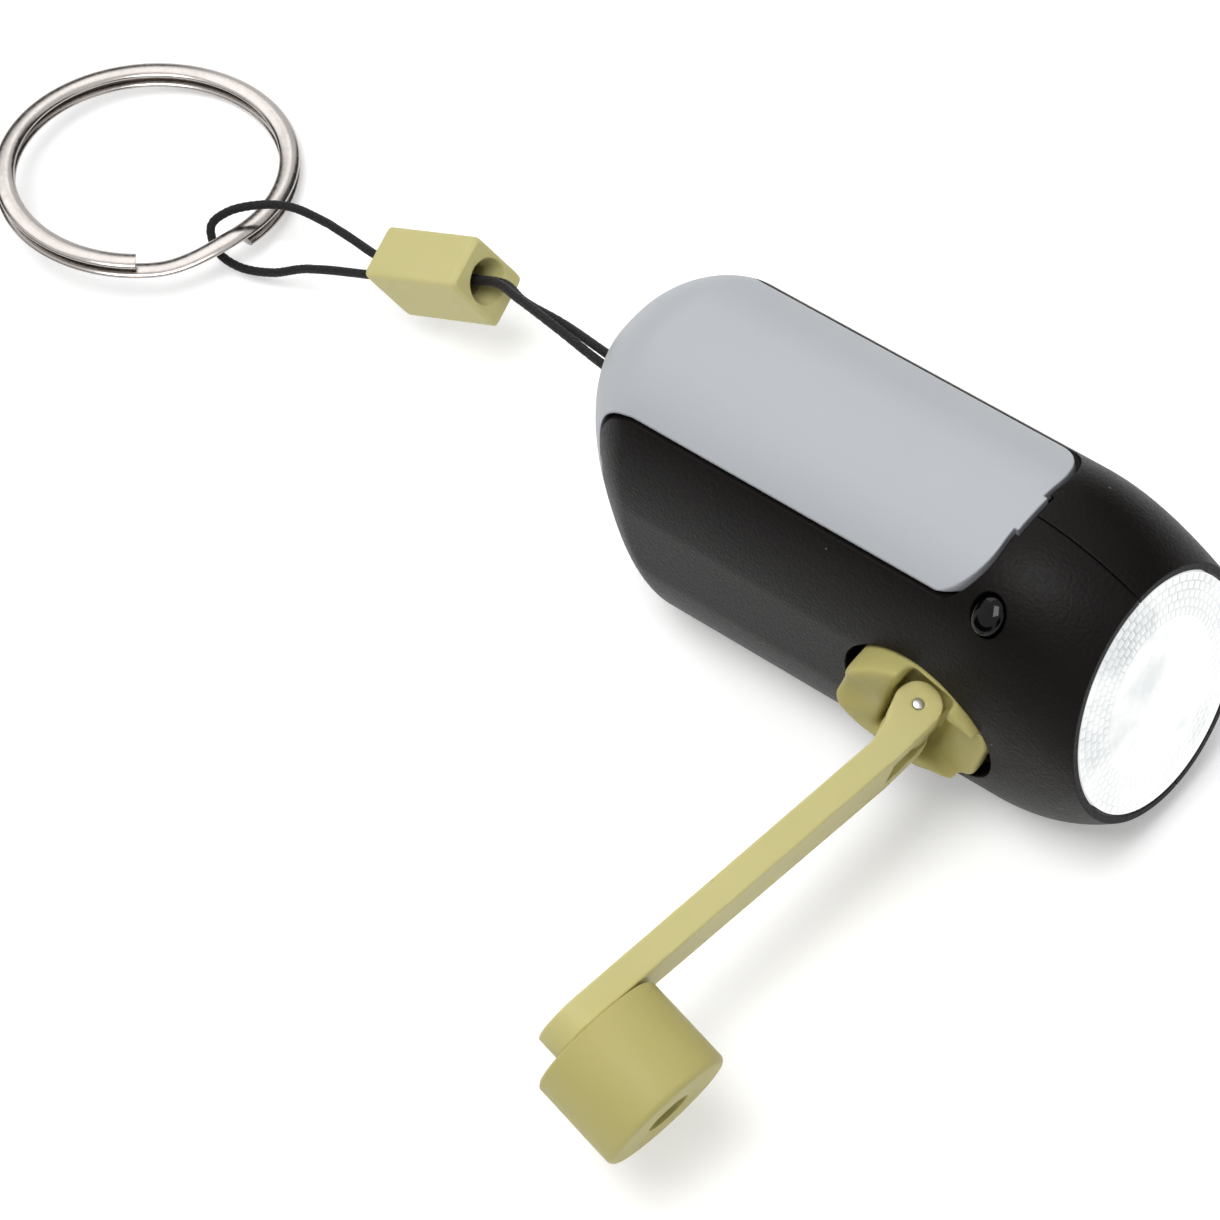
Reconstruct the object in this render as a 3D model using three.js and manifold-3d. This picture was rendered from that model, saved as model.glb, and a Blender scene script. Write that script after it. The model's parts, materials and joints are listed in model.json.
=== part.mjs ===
// A keychain torch that is charged by a small folding hand crank.
// Millimetres. The torch lies flat: +X runs towards its lens, +Z up through its top panel, and the
// crank is on the -Y side. The origin is the middle of the flat on its belly.
// Everything in the torch itself is drawn from the lens axis, with x = 0 at the rim of the lens.
import * as THREE from "three";
import { mergeVertices } from "three/addons/utils/BufferGeometryUtils.js";
import Module from "manifold-3d";

const wasm = await Module();
wasm.setup();

const degree = Math.PI / 180;
const quarterTurn = Math.PI / 2;

// Shared clearances
const gap = 0.3;
const runningGap = 0.08;
const threadGap = 0.15;
const overrun = 2;

// Case
const caseLength = 57.6;
const caseHalfWidth = 11.9;
const caseHalfHeight = 17.3;
const rimInset = 0.95;
const rimHalfWidth = caseHalfWidth - rimInset;
const rimDrop = 4.1;
const rimHalfHeight = caseHalfHeight - rimDrop;
const noseLength = 11;
const rearCapLength = 10.2;
const rearTipHalfHeight = 3;
const rearWidthExponent = 1.6;
const rearHeightExponent = 1.9;
const sideShave = 0.15;
const sideFlat = caseHalfWidth - sideShave;
const bellyShave = 1.4;
const bellyDepth = caseHalfHeight - bellyShave;
const bellyShift = 0.4;
const bellyMiddle = bellyShift - caseLength / 2;
const wall = 2.1;
const crownThickness = 3.9;
const cavityTop = caseHalfHeight - crownThickness;
const seam = 0.3;
const tabHalfLength = 4;
const tabReach = 2.5;
const rimExponent = 2;
const caseExponent = 2.5;
const sectionSides = 44;
const noseStations = 6;
const capStations = 7;
const lastCapShare = 0.985;

// Top panel
const panelThickness = 1.1;
const panelGap = 0.4;
const panelFront = -10.6;
const panelRise = 3.55;
const panelEdgeHeight = caseHalfHeight - panelRise;
const panelInset = 3.15;
const panelHalfWidth = caseHalfWidth - panelInset;
const panelCornerRadius = 5;
const panelDropInset = 11;
const panelDropStart = panelDropInset - caseLength;
const panelDropRadius = 4.5;
const panelFlare = 1.3;
const tongueEnd = -4;
const clipHalfWidth = 1.9;
const clipReach = 0.4;

// Lens, reflector and lamps
const lensInset = 0.85;
const lensHalfWidth = rimHalfWidth - lensInset;
const lensHalfHeight = rimHalfHeight - lensInset;
const lensThickness = 1.6;
const lensDome = 0.5;
const lensRingShares = [0.25, 0.55, 0.82];
const lensGap = 0.25;
const lensSides = 40;
const bowlDepth = 4.6;
const bowlWall = 0.9;
const bowlTaper = 3.7;
const bowlRearHalfWidth = lensHalfWidth - bowlTaper;
const bowlDrop = 4.75;
const bowlRearHalfHeight = lensHalfHeight - bowlDrop;
const lampRadius = 1.9;
const lampLength = 3.6;
const lampPitch = 2.7;
const lampCount = 3;
const lampBoardThickness = 0.8;
const lampBoardMargin = 0.6;
const lampBoardHalfWidth = bowlRearHalfWidth + lampBoardMargin;
const lampBoardHalfHeight = bowlRearHalfHeight;

// Push button and the switch under it
const buttonX = -8.9;
const buttonInset = 3.8;
const buttonY = buttonInset - caseHalfWidth;
const buttonDrop = 3.6;
const buttonZ = caseHalfHeight - buttonDrop;
const buttonTilt = 31 * degree;
const buttonHalfWidth = 1.45;
const buttonHalfLength = 1.75;
const buttonProud = 0.75;
const buttonDepth = 3.6;
const buttonTravel = 0.6;
const buttonFlange = 0.5;
const buttonFlangeHeight = 0.7;
const switchGap = 0.1;
const switchHalfWidth = 1.6;
const switchHeight = 2.2;

// Crank hub in its round well on the side; its lines are drawn up from the flat of the case
function onSide(points) {
  return points.map(([across, rise]) => [across, sideFlat + rise]);
}

const hubX = -0.2823 * caseLength;
const hubZ = -1.34;
const hubRadius = 7.3;
const hubFlat = 6.6;
const hubSunk = 1.85;
const hubFoot = sideFlat - hubSunk;
const hubRise = 2.75;
const hubCrest = sideFlat + hubRise;
const hubEdge = 0.5;
const hubTroughHalf = 4.75;
const hubSlotHalf = 2.4;
const slotSunk = 1.25;
const hubSlotFloor = sideFlat - slotSunk;
const slotLip = 0.1;
const hubEnd = 8;
const hubTopLine = onSide([
  [hubFlat, 0.15],
  [5.9, 0.85],
  [3.2, 0.85],
  [hubSlotHalf, 1.15],
  [-hubSlotHalf, 1.55],
  [-4.4, 2.15],
  [-6.2, 2.75],
  [-hubFlat, 2.45],
]);
const hubEndLine = onSide([
  [-hubEnd, 1.35],
  [-3, 2.75],
  [hubEnd, 2.75],
]);
const hubTrough = onSide([
  [2, -0.85],
  [7.5, 0.35],
  [7.5, 4.25],
  [2, 4.25],
]);
const dishSphere = 5.5;
const dishX = -4.3;
const dishY = -0.3;
const dishRise = 1.45;
const dishFloor = sideFlat + dishRise;
const knuckleHalf = 1.9;
const knuckleRadius = 1.8;
const stemRadius = 2.2;
const wellGap = 0.4;
const wellDepth = 2.15;
const wellFloor = sideFlat - wellDepth;
const cupWall = 1.1;
const cupThickness = 1.1;
const stemClearance = 0.05;
const stemFoot = wellFloor - cupThickness - stemClearance;
const shaftRadius = 1.2;
const shaftCover = 0.7;
const shaftTop = hubSlotFloor - shaftCover;
const crankTurn = 23.75 * degree;

// Crank arm, folded out
const foldAngle = 83.35 * degree;
const pinRise = 1.11;
const pinHeight = sideFlat + pinRise;
const pinRadius = 0.5;
const pinHeadProud = 0.1;
const bossRadius = 2.05;
const armHalfDepth = 4.45;
const armEndRadius = 3.6;
const armInner = -0.2;
const armOuter = 2.3;
const armLength = 38.1;
const forkHalfWidth = 2.2;
const forkReach = 4.3;

// Knob on the end of the arm
const knobRadius = 6.25;
const knobLength = 8.8;
const knobRounding = 1;
const knobBore = 2.05;
const knobBoreDepth = 4.2;
const postRadius = 1.55;
const screwHeadRadius = 1.7;
const screwHeadHeight = 0.9;
const screwRadius = 0.6;
const screwReach = 3.2;

// Gear train between the crank and the generator; what lies between the two walls shares their room
const stackMargin = 11.1;
const stackRoom = 2 * caseHalfWidth - stackMargin;
const gearModuleBase = 0.25;
const gearModule = gearModuleBase + 0.00434 * caseLength;
const pressureAngle = 20 * degree;
const wheelTeeth = 26;
const pinionTeeth = 10;
const addendumShare = 0.62;
const dedendumShare = 1.05;
const backlash = 0.07;
const gearLayerStep = 0.126 * stackRoom;
const gearLayerGap = 0.4;
const gearThickness = gearLayerStep - gearLayerGap;
const firstGearLayer = cupThickness + gap - wellFloor;
const stackClearance = 0.1;
const shaftFoot = -firstGearLayer - gearThickness - stackClearance;
const firstLeg = 145 * degree;
const secondLeg = 206 * degree;
const thirdLeg = 201 * degree;
const axleRadius = 0.6;
const collarRadius = 1.6;

// Gear plate
const plateNear = firstGearLayer + 3 * gearLayerStep + stackClearance;
const plateThickness = 0.9;
const plateMargin = 8;
const plateHalfHeight = caseHalfHeight - plateMargin;
const plateFront = -10.8;
const plateInset = 13.2;
const plateRear = plateInset - caseLength;
const platePostRadius = 1.3;
const platePostFront = 1.4;
const platePostRear = 5.9;
const platePostTop = 0.7;
const platePostInset = 2.3;
const platePostShift = 1.9;
const platePosts = [
  { x: (plateRear + plateFront) / 2 + platePostShift, z: platePostInset - plateHalfHeight },
  { x: plateFront - platePostFront, z: plateHalfHeight - platePostTop },
  { x: plateRear + platePostRear, z: plateHalfHeight - platePostInset },
];

// Generator
const statorRadius = 0.125 * caseLength;
const statorWall = 0.5;
const statorDepth = 0.37 * stackRoom;
const coilMargin = 0.9;
const coilOuter = statorRadius - coilMargin;
const coilWidth = 2.2;
const coilInner = coilOuter - coilWidth;
const coilShortfall = 1.3;
const coilDepth = statorDepth - coilShortfall;
const airGap = 0.6;
const magnetRadius = coilInner - airGap;
const magnetShortfall = 1.5;
const magnetDepth = statorDepth - magnetShortfall;

// Main board and battery cell
const boardClearance = 0.7;
const boardNear = plateNear + plateThickness + gap + statorDepth + boardClearance;
const boardThickness = 0.8;
const boardFront = -11.5;
const boardRear = plateRear;
const boardMargin = 8.8;
const boardHalfHeight = caseHalfHeight - boardMargin;
const cellSpare = 1.35;
const cellRadius = 0.5 * caseHalfHeight + cellSpare;
const cellThickness = 0.252 * stackRoom;
const cellInset = 0.4;
const cellX = boardRear + cellRadius + cellInset;
const contactThickness = 0.25;
const contactHalfWidth = 2;
const boardPostRadius = 1.4;
const boardPostInset = 2.5;
const boardPostX = boardFront - boardPostInset;
const boardPostDrop = 2.1;
const boardPostZ = boardHalfHeight - boardPostDrop;

// Case screws, driven from the far side
const screwBossRadius = 2.2;
const caseScrewRadius = 0.8;
const caseScrewHead = 1.5;
const caseScrewHeadHeight = 1.1;
const caseScrewBack = 5.25;
const caseScrewReach = sideFlat - caseScrewBack;
const caseScrewSunk = 1.65;
const caseScrewSeat = sideFlat - caseScrewSunk;
const screwBehindPanel = 1.6;
const screwFromRear = 10.2;
const screwOverBelly = 4.1;
const screwUnderTop = 10.9;
const lowScrewSunk = 4.6;
const lowScrewSeat = sideFlat - lowScrewSunk;
const caseScrews = [
  { x: panelFront - screwBehindPanel, z: screwOverBelly - bellyDepth, seat: lowScrewSeat },
  { x: screwFromRear - caseLength, z: bellyDepth - screwUnderTop, seat: caseScrewSeat },
  { x: screwFromRear - caseLength, z: screwOverBelly - bellyDepth, seat: lowScrewSeat },
];

// Cord bar across the rear end, and the hole that the cord leaves by
const cordHoleHalfWidth = 1.4;
const cordHoleHalfHeight = 1.1;
const cordExitHeight = 19.1;
const cordHoleZ = cordExitHeight - bellyDepth;
const cordBarRadius = 0.8;
const cordBarInset = 6;
const cordBarX = cordBarInset - caseLength;
const cordBarHalfLength = 4.2;
const cordBarSeat = 1.6;

// Cord, bead and split ring: their places count from the rear end and up from the belly
function fromRear([x, y, z]) {
  return new THREE.Vector3(x - caseLength, y, z - bellyDepth);
}

const cordDiameter = 0.85;
const cordSides = 8;
const cordSteps = 78;
const cordStrandHalf = 0.52;
const cordRunIn = 3;
const cordStart = cordBarX - cordRunIn;

// Leaving the case: a place and how many degrees the pair of strands has turned there
const cordLeaving = [
  [0, 0, 19.1, 0],
  [-3.2, 0.5, 18.6, 0],
  [-9.9, 1.9, 17.1, -30],
  [-16.4, 3.3, 15, -62],
];

// Inside the bead: how far along, half the distance between the strands, and their turn in degrees
const cordInBead = [
  [7.6, 0.55, -62.5],
  [4, 0.58, -50],
  [0, 0.65, -30],
  [-4, 0.72, -10],
  [-7.6, 0.75, 0],
];
const cordLoop = [
  [-43.9, 4.4, 7],
  [-48.7, 4.3, 6.3],
  [-51.8, 3.1, 5.8],
  [-54.2, 1.2, 5.2],
  [-55.5, -0.2, 3.7],
  [-54.3, -1.2, 2],
  [-51.7, -1.3, 1.5],
  [-47.9, -0.5, 2.2],
  [-43.9, 0.7, 4.1],
];
const beadLength = 12;
const beadHalfWidth = 2.7;
const beadHalfHeight = 3.6;
const beadChamfer = 0.4;
const beadEndShare = 0.9;
const beadExponent = 9;
const beadBore = 1.3;
const beadBoreSpread = 0.2;
const beadMouth = 2.15;
const beadMouthEnd = 1;
const beadMouthDepth = 3.2;
const beadCentre = fromRear([-27.35, 3.63, 10.78]);
const beadPitch = -20.9 * degree;
const beadYaw = 6.8 * degree;
const beadRoll = 12.4 * degree;
const ringRadius = 14.35;
const ringBand = 1.95;
const ringWire = 0.75;
const ringCoilGap = 0.42;
const ringSides = 10;
const ringSteps = 84;
const ringFirstTurn = 0.03;
const ringLastTurn = 1.9;
const ringJogStart = 0.92;
const ringJogEnd = 1.02;
const ringCornerShare = 2;
const ringCentre = fromRear([-65.6, 1.65, 3.83]);
const ringLean = -11.7 * degree;
const ringPitch = 2.5 * degree;
const ringEndAngle = -14 * degree;

const colours = {
  black: { color: 0x2b2927, roughness: 0.5, metalness: 0 },
  grey: { color: 0xb9bdc1, roughness: 0.45, metalness: 0 },
  yellow: { color: 0xcdc78f, roughness: 0.5, metalness: 0 },
  clear: { color: 0xf4f6f8, roughness: 0.08, metalness: 0 },
  white: { color: 0xf5f5f0, roughness: 0.4, metalness: 0 },
  chromed: { color: 0xd8d8d8, roughness: 0.15, metalness: 1 },
  steel: { color: 0xb8b6b2, roughness: 0.3, metalness: 1 },
  nickel: { color: 0xb5aea6, roughness: 0.2, metalness: 1 },
  gloss: { color: 0x16110f, roughness: 0.12, metalness: 0 },
  gear: { color: 0xe8e4d8, roughness: 0.5, metalness: 0 },
  copper: { color: 0xb0673a, roughness: 0.35, metalness: 1 },
  magnet: { color: 0x55565a, roughness: 0.5, metalness: 0.6 },
  board: { color: 0x2f6b45, roughness: 0.5, metalness: 0 },
  cord: { color: 0x1b1a1b, roughness: 0.85, metalness: 0 },
};

// Solids and meshes
function solid(geometry) {
  const bare = geometry.index ? geometry.toNonIndexed() : geometry.clone();
  bare.deleteAttribute("normal");
  bare.deleteAttribute("uv");
  const merged = mergeVertices(bare, 1e-4);
  return new wasm.Manifold(
    new wasm.Mesh({
      numProp: 3,
      vertProperties: merged.attributes.position.array,
      triVerts: new Uint32Array(merged.index.array),
    }),
  );
}

function geometryOf(shape) {
  const { vertProperties, triVerts } = shape.getMesh();
  const geometry = new THREE.BufferGeometry();
  geometry.setAttribute("position", new THREE.BufferAttribute(vertProperties, 3));
  geometry.setIndex(new THREE.BufferAttribute(triVerts, 1));
  const flat = geometry.toNonIndexed();
  flat.computeVertexNormals();
  return flat;
}

function piece(name, shape, look) {
  const geometry = shape.isBufferGeometry ? shape : geometryOf(shape);
  const mesh = new THREE.Mesh(geometry, new THREE.MeshStandardMaterial(colours[look]));
  mesh.name = name;
  return mesh;
}

function box(low, high) {
  const geometry = new THREE.BoxGeometry(high[0] - low[0], high[1] - low[1], high[2] - low[2]);
  geometry.translate((low[0] + high[0]) / 2, (low[1] + high[1]) / 2, (low[2] + high[2]) / 2);
  return solid(geometry);
}

// A round bar along Y between two values of y
function barY(radius, from, to, x, z, sides = 20) {
  const geometry = new THREE.CylinderGeometry(radius, radius, to - from, sides);
  geometry.translate(x, (from + to) / 2, z);
  return solid(geometry);
}

// A round bar along X between two values of x
function barX(radius, from, to, y, z, sides = 20) {
  const geometry = new THREE.CylinderGeometry(radius, radius, to - from, sides);
  geometry.rotateZ(quarterTurn);
  geometry.translate((from + to) / 2, y, z);
  return solid(geometry);
}

// A round bar along Z between two values of z
function barZ(radius, from, to, x, y, sides = 20) {
  const geometry = new THREE.CylinderGeometry(radius, radius, to - from, sides);
  geometry.rotateX(quarterTurn);
  geometry.translate(x, y, (from + to) / 2);
  return solid(geometry);
}

// An outline in X and Z, carried along Y between two values of y
function slabY(shape, from, to) {
  const geometry = new THREE.ExtrudeGeometry(shape, { depth: to - from, bevelEnabled: false });
  geometry.rotateX(quarterTurn);
  geometry.translate(0, to, 0);
  return solid(geometry);
}

// An outline in X and Y, carried along Z between two values of z
function slabZ(shape, from, to) {
  const geometry = new THREE.ExtrudeGeometry(shape, { depth: to - from, bevelEnabled: false });
  geometry.translate(0, 0, from);
  return solid(geometry);
}

// An outline in Y and Z, carried along X between two values of x
function slabX(shape, from, to) {
  const geometry = new THREE.ExtrudeGeometry(shape, { depth: to - from, bevelEnabled: false });
  geometry.rotateX(quarterTurn);
  geometry.rotateZ(quarterTurn);
  geometry.translate(from, 0, 0);
  return solid(geometry);
}

function polygon(points) {
  return new THREE.Shape(points.map(([u, v]) => new THREE.Vector2(u, v)));
}

// A body turned about Z, from a profile of radius and height that starts and ends on the axis
function turned(profile, sides) {
  const points = profile.map(([radius, height]) => new THREE.Vector2(radius, height));
  const geometry = new THREE.LatheGeometry(points, sides);
  geometry.rotateX(quarterTurn);
  return solid(geometry);
}

// A closed skin over a row of rings that runs towards -X, its two ends fanned
function skin(rings) {
  const count = rings[0].length;
  const positions = rings.flat().flatMap((point) => [point.x, point.y, point.z]);
  const index = [];
  for (let ring = 0; ring < rings.length - 1; ring += 1) {
    for (let side = 0; side < count; side += 1) {
      const here = ring * count + side;
      const next = ring * count + ((side + 1) % count);
      index.push(here, here + count, next, next, here + count, next + count);
    }
  }
  const last = (rings.length - 1) * count;
  for (let side = 1; side < count - 1; side += 1) {
    index.push(0, side, side + 1);
    index.push(last, last + side + 1, last + side);
  }
  const geometry = new THREE.BufferGeometry();
  geometry.setAttribute("position", new THREE.Float32BufferAttribute(positions, 3));
  geometry.setIndex(index);
  return solid(geometry);
}

// Case body: a row of rounded sections from the oval rim of the lens to the rounded rear end
function caseStations(inset) {
  const capStart = caseLength - rearCapLength;
  const capLength = rearCapLength - inset;
  const stations = [];
  for (let step = 0; step <= noseStations; step += 1) {
    stations.push((noseLength * step) / noseStations);
  }
  for (let step = 0; step <= capStations; step += 1) {
    const share = Math.sin((quarterTurn * step) / capStations);
    stations.push(capStart + capLength * Math.min(share, lastCapShare));
  }
  return stations;
}

function caseSection(depth, inset) {
  const noseShare = Math.min(1, depth / noseLength);
  const bulge = 1 - (1 - noseShare) ** 2;
  const capStart = caseLength - rearCapLength;
  const capShare = Math.max(0, (depth - capStart) / (rearCapLength - inset));
  const widthShare = (1 - capShare ** rearWidthExponent) ** (1 / rearWidthExponent);
  const heightShare = (1 - capShare ** rearHeightExponent) ** (1 / rearHeightExponent);
  const fullWidth = rimHalfWidth + (caseHalfWidth - rimHalfWidth) * bulge - inset;
  const fullHeight = rimHalfHeight + (caseHalfHeight - rimHalfHeight) * bulge - inset;
  const tipHeight = rearTipHalfHeight - inset / 2;
  return {
    halfWidth: fullWidth * widthShare,
    halfHeight: tipHeight + (fullHeight - tipHeight) * heightShare,
    exponent: rimExponent + (caseExponent - rimExponent) * bulge,
  };
}

function ovalRing(x, halfWidth, halfHeight, exponent, sides) {
  const ring = [];
  for (let side = 0; side < sides; side += 1) {
    const angle = (2 * Math.PI * side) / sides;
    const across = Math.cos(angle);
    const up = Math.sin(angle);
    const y = halfWidth * Math.sign(across) * Math.abs(across) ** (2 / exponent);
    const z = halfHeight * Math.sign(up) * Math.abs(up) ** (2 / exponent);
    ring.push(new THREE.Vector3(x, y, z));
  }
  return ring;
}

function caseBody(inset, front = 0) {
  const rings = caseStations(inset).map((depth, index) => {
    const { halfWidth, halfHeight, exponent } = caseSection(depth, inset);
    const x = index === 0 ? front : -depth;
    return ovalRing(x, halfWidth, halfHeight, exponent, sectionSides);
  });
  const flats = box(
    [-caseLength, -sideFlat + inset, -bellyDepth + inset],
    [overrun, sideFlat - inset, caseHalfHeight],
  );
  return skin(rings).intersect(flats);
}

// Room for the top panel: its side outline with the drop at the rear, and its plan with round corners
function panelRoom(grown) {
  const edge = panelEdgeHeight - grown;
  const dropX = panelDropStart;
  const dropRadius = panelDropRadius - grown;
  const side = new THREE.Shape();
  side.moveTo(panelFront + clipReach + grown, caseHalfHeight + overrun);
  side.lineTo(panelFront + clipReach + grown, edge);
  side.lineTo(dropX, edge);
  side.absarc(dropX, edge - dropRadius, dropRadius, quarterTurn, Math.PI, false);
  side.lineTo(dropX - dropRadius, tongueEnd - grown);
  side.lineTo(-caseLength - overrun, tongueEnd - grown);
  side.lineTo(-caseLength - overrun, caseHalfHeight + overrun);
  const reach = panelHalfWidth + grown;
  const front = panelFront + grown;
  const corner = panelCornerRadius;
  const plan = new THREE.Shape();
  plan.moveTo(-caseLength - overrun, -reach - panelFlare);
  plan.lineTo(front - corner, -reach);
  plan.absarc(front - corner, -reach + corner, corner, -quarterTurn, 0, false);
  plan.lineTo(front, -clipHalfWidth - grown);
  plan.lineTo(front + clipReach, -clipHalfWidth - grown);
  plan.lineTo(front + clipReach, clipHalfWidth + grown);
  plan.lineTo(front, clipHalfWidth + grown);
  plan.absarc(front - corner, reach - corner, corner, 0, quarterTurn, false);
  plan.lineTo(-caseLength - overrun, reach + panelFlare);
  const tall = caseHalfHeight + overrun;
  return slabY(side, -tall, tall).intersect(slabZ(plan, -tall, tall));
}

const cordHole = box(
  [-caseLength - overrun, -cordHoleHalfWidth, cordHoleZ - cordHoleHalfHeight],
  [cordBarX - cordBarSeat, cordHoleHalfWidth, cordHoleZ + cordHoleHalfHeight],
);
const insideCase = caseBody(wall / 2);
const underPanel = caseBody(panelThickness + panelGap);
const outOfReach = caseHalfWidth + overrun;

function joined(shapes) {
  return shapes.reduce((whole, shape) => whole.add(shape));
}

function cut(shape, tools) {
  return tools.reduce((rest, tool) => rest.subtract(tool), shape);
}

// Two half shells with the bosses, the crank well and the seats inside them
function caseShell() {
  const cavity = caseBody(wall, overrun).intersect(
    box([-caseLength, -caseHalfWidth, -caseHalfHeight], [overrun, caseHalfWidth, cavityTop]),
  );
  const recess = panelRoom(panelGap).subtract(caseBody(panelThickness + panelGap));
  const seatHalfWidth = lensHalfWidth + lensGap;
  const seatHalfHeight = lensHalfHeight + lensGap;
  const lensSeat = skin([
    ovalRing(overrun, seatHalfWidth, seatHalfHeight, 2, lensSides),
    ovalRing(-lensThickness - gap, seatHalfWidth, seatHalfHeight, 2, lensSides),
  ]);
  const buttonHole = onNose(buttonBar(gap, -buttonDepth - overrun, buttonProud + overrun));
  return cut(caseBody(0), [cavity, recess, lensSeat, buttonHole, cordHole]);
}

function screwBars(radius, from, to) {
  return joined(caseScrews.map(({ x, z }) => barY(radius, from, to, x, z, 16)));
}

function barSeat(from, to) {
  return barY(cordBarSeat, from, to, cordBarX, cordHoleZ, 16).intersect(underPanel);
}

// The belly tab of the near half laps under the far half, so that the origin lies on solid material
function bellyTab(grown) {
  return box(
    [bellyMiddle - tabHalfLength - grown, -seam, -bellyDepth - overrun],
    [bellyMiddle + tabHalfLength + grown, tabReach + grown, wall - bellyDepth + gap],
  );
}

const shell = caseShell();
const barHole = barY(
  cordBarRadius + threadGap,
  -cordBarHalfLength - gap,
  cordBarHalfLength + gap,
  cordBarX,
  cordHoleZ,
  14,
);

function nearShell() {
  const side = box(
    [-caseLength - overrun, -outOfReach, -caseHalfHeight - overrun],
    [overrun, -seam / 2, caseHalfHeight + overrun],
  );
  const half = side.add(bellyTab(0));
  const bosses = screwBars(screwBossRadius, -sideFlat, -seam / 2).intersect(insideCase);
  const threads = screwBars(caseScrewRadius + threadGap, -caseScrewReach - gap, overrun);
  const cupRadius = hubRadius + wellGap + cupWall;
  const cup = barY(cupRadius, -sideFlat + wall / 2, -wellFloor + cupThickness, hubX, hubZ, 36);
  const well = barY(hubRadius + wellGap, -outOfReach, -wellFloor, hubX, hubZ, 36);
  const stemHole = barY(stemRadius + runningGap, -outOfReach, -seam, hubX, hubZ, 24);
  const seat = barSeat(-sideFlat, -cordHoleHalfWidth - gap);
  return cut(joined([shell.intersect(half), bosses, cup, seat]), [threads, well, stemHole, barHole]);
}

function farShell() {
  const side = box(
    [-caseLength - overrun, seam / 2, -caseHalfHeight - overrun],
    [overrun, outOfReach, caseHalfHeight + overrun],
  );
  const half = side.subtract(bellyTab(seam));
  const bosses = screwBars(screwBossRadius, seam / 2, sideFlat).intersect(insideCase);
  const shanks = screwBars(caseScrewRadius + gap, -overrun, outOfReach);
  const heads = joined(caseScrews.map(({ x, z, seat }) => barY(caseScrewHead + gap, seat, outOfReach, x, z, 16)));
  const postStart = boardNear + boardThickness + gap;
  const posts = [-boardPostZ, boardPostZ].map((z) =>
    barY(boardPostRadius, postStart, sideFlat, boardPostX, z, 14).intersect(insideCase),
  );
  const seat = barSeat(cordHoleHalfWidth + gap, sideFlat);
  return cut(joined([shell.intersect(half), bosses, ...posts, seat]), [shanks, heads, barHole]);
}

function topPanel() {
  return cut(panelRoom(0).intersect(caseBody(0)), [caseBody(panelThickness), cordHole]);
}

function caseScrew({ x, z, seat }) {
  const head = barY(caseScrewHead, seat + gap / 2, seat + caseScrewHeadHeight, x, z, 16);
  const shank = barY(caseScrewRadius, -caseScrewReach, seat + caseScrewHeadHeight / 2, x, z, 12);
  return head.add(shank);
}

// Lens, reflector bowl, lamps and their board
function lens() {
  const rings = lensRingShares.map((share) =>
    ovalRing(lensDome * (1 - share ** 2), lensHalfWidth * share, lensHalfHeight * share, 2, lensSides),
  );
  rings.push(ovalRing(0, lensHalfWidth, lensHalfHeight, 2, lensSides));
  rings.push(ovalRing(-lensThickness, lensHalfWidth, lensHalfHeight, 2, lensSides));
  return skin(rings);
}

const lampPlaces = [];
for (let lamp = 0; lamp < lampCount; lamp += 1) {
  const angle = quarterTurn + (2 * Math.PI * lamp) / lampCount;
  lampPlaces.push({ y: lampPitch * Math.cos(angle), z: lampPitch * Math.sin(angle) });
}
const bowlFront = -lensThickness - 2 * gap;
const bowlBack = bowlFront - bowlDepth;

function reflector() {
  const { halfWidth, halfHeight } = caseSection(-bowlFront, wall + gap);
  const innerWidth = halfWidth - bowlWall;
  const innerHeight = halfHeight - bowlWall;
  const outer = skin([
    ovalRing(bowlFront, halfWidth, halfHeight, 2, lensSides),
    ovalRing(bowlFront - bowlWall, halfWidth, halfHeight, 2, lensSides),
    ovalRing(bowlBack, bowlRearHalfWidth, bowlRearHalfHeight, 2, lensSides),
  ]);
  const inner = skin([
    ovalRing(bowlFront + overrun, innerWidth, innerHeight, 2, lensSides),
    ovalRing(bowlFront, innerWidth, innerHeight, 2, lensSides),
    ovalRing(bowlBack + bowlWall, bowlRearHalfWidth - bowlWall, bowlRearHalfHeight - bowlWall, 2, lensSides),
  ]);
  const lampHoles = lampPlaces.map(({ y, z }) => barX(lampRadius + gap, bowlBack - overrun, bowlFront, y, z));
  return cut(outer, [inner, ...lampHoles]);
}

function lampBoard() {
  const front = bowlBack - gap;
  return skin([
    ovalRing(front, lampBoardHalfWidth, lampBoardHalfHeight, 2, 24),
    ovalRing(front - lampBoardThickness, lampBoardHalfWidth, lampBoardHalfHeight, 2, 24),
  ]);
}

function lampBody() {
  const straight = lampLength - lampRadius;
  const profile = [
    [0, 0],
    [lampRadius, 0],
    [lampRadius, straight],
  ];
  for (const angle of [30, 60]) {
    profile.push([lampRadius * Math.cos(angle * degree), straight + lampRadius * Math.sin(angle * degree)]);
  }
  profile.push([0, lampLength]);
  return turned(profile, 16).rotate([0, 90, 0]);
}

function lampAt({ y, z }) {
  return lampBody().translate([bowlBack + gap / 2, y, z]);
}

// Push button and its switch, square to the nose where they stand
function onNose(shape) {
  return shape.rotate([buttonTilt / degree, 0, 0]).translate([buttonX, buttonY, buttonZ]);
}

function buttonBar(grown, from, to) {
  return turned([[0, from], [1, from], [1, to], [0, to]], 20).scale([
    buttonHalfWidth + grown,
    buttonHalfLength + grown,
    1,
  ]);
}

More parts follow.
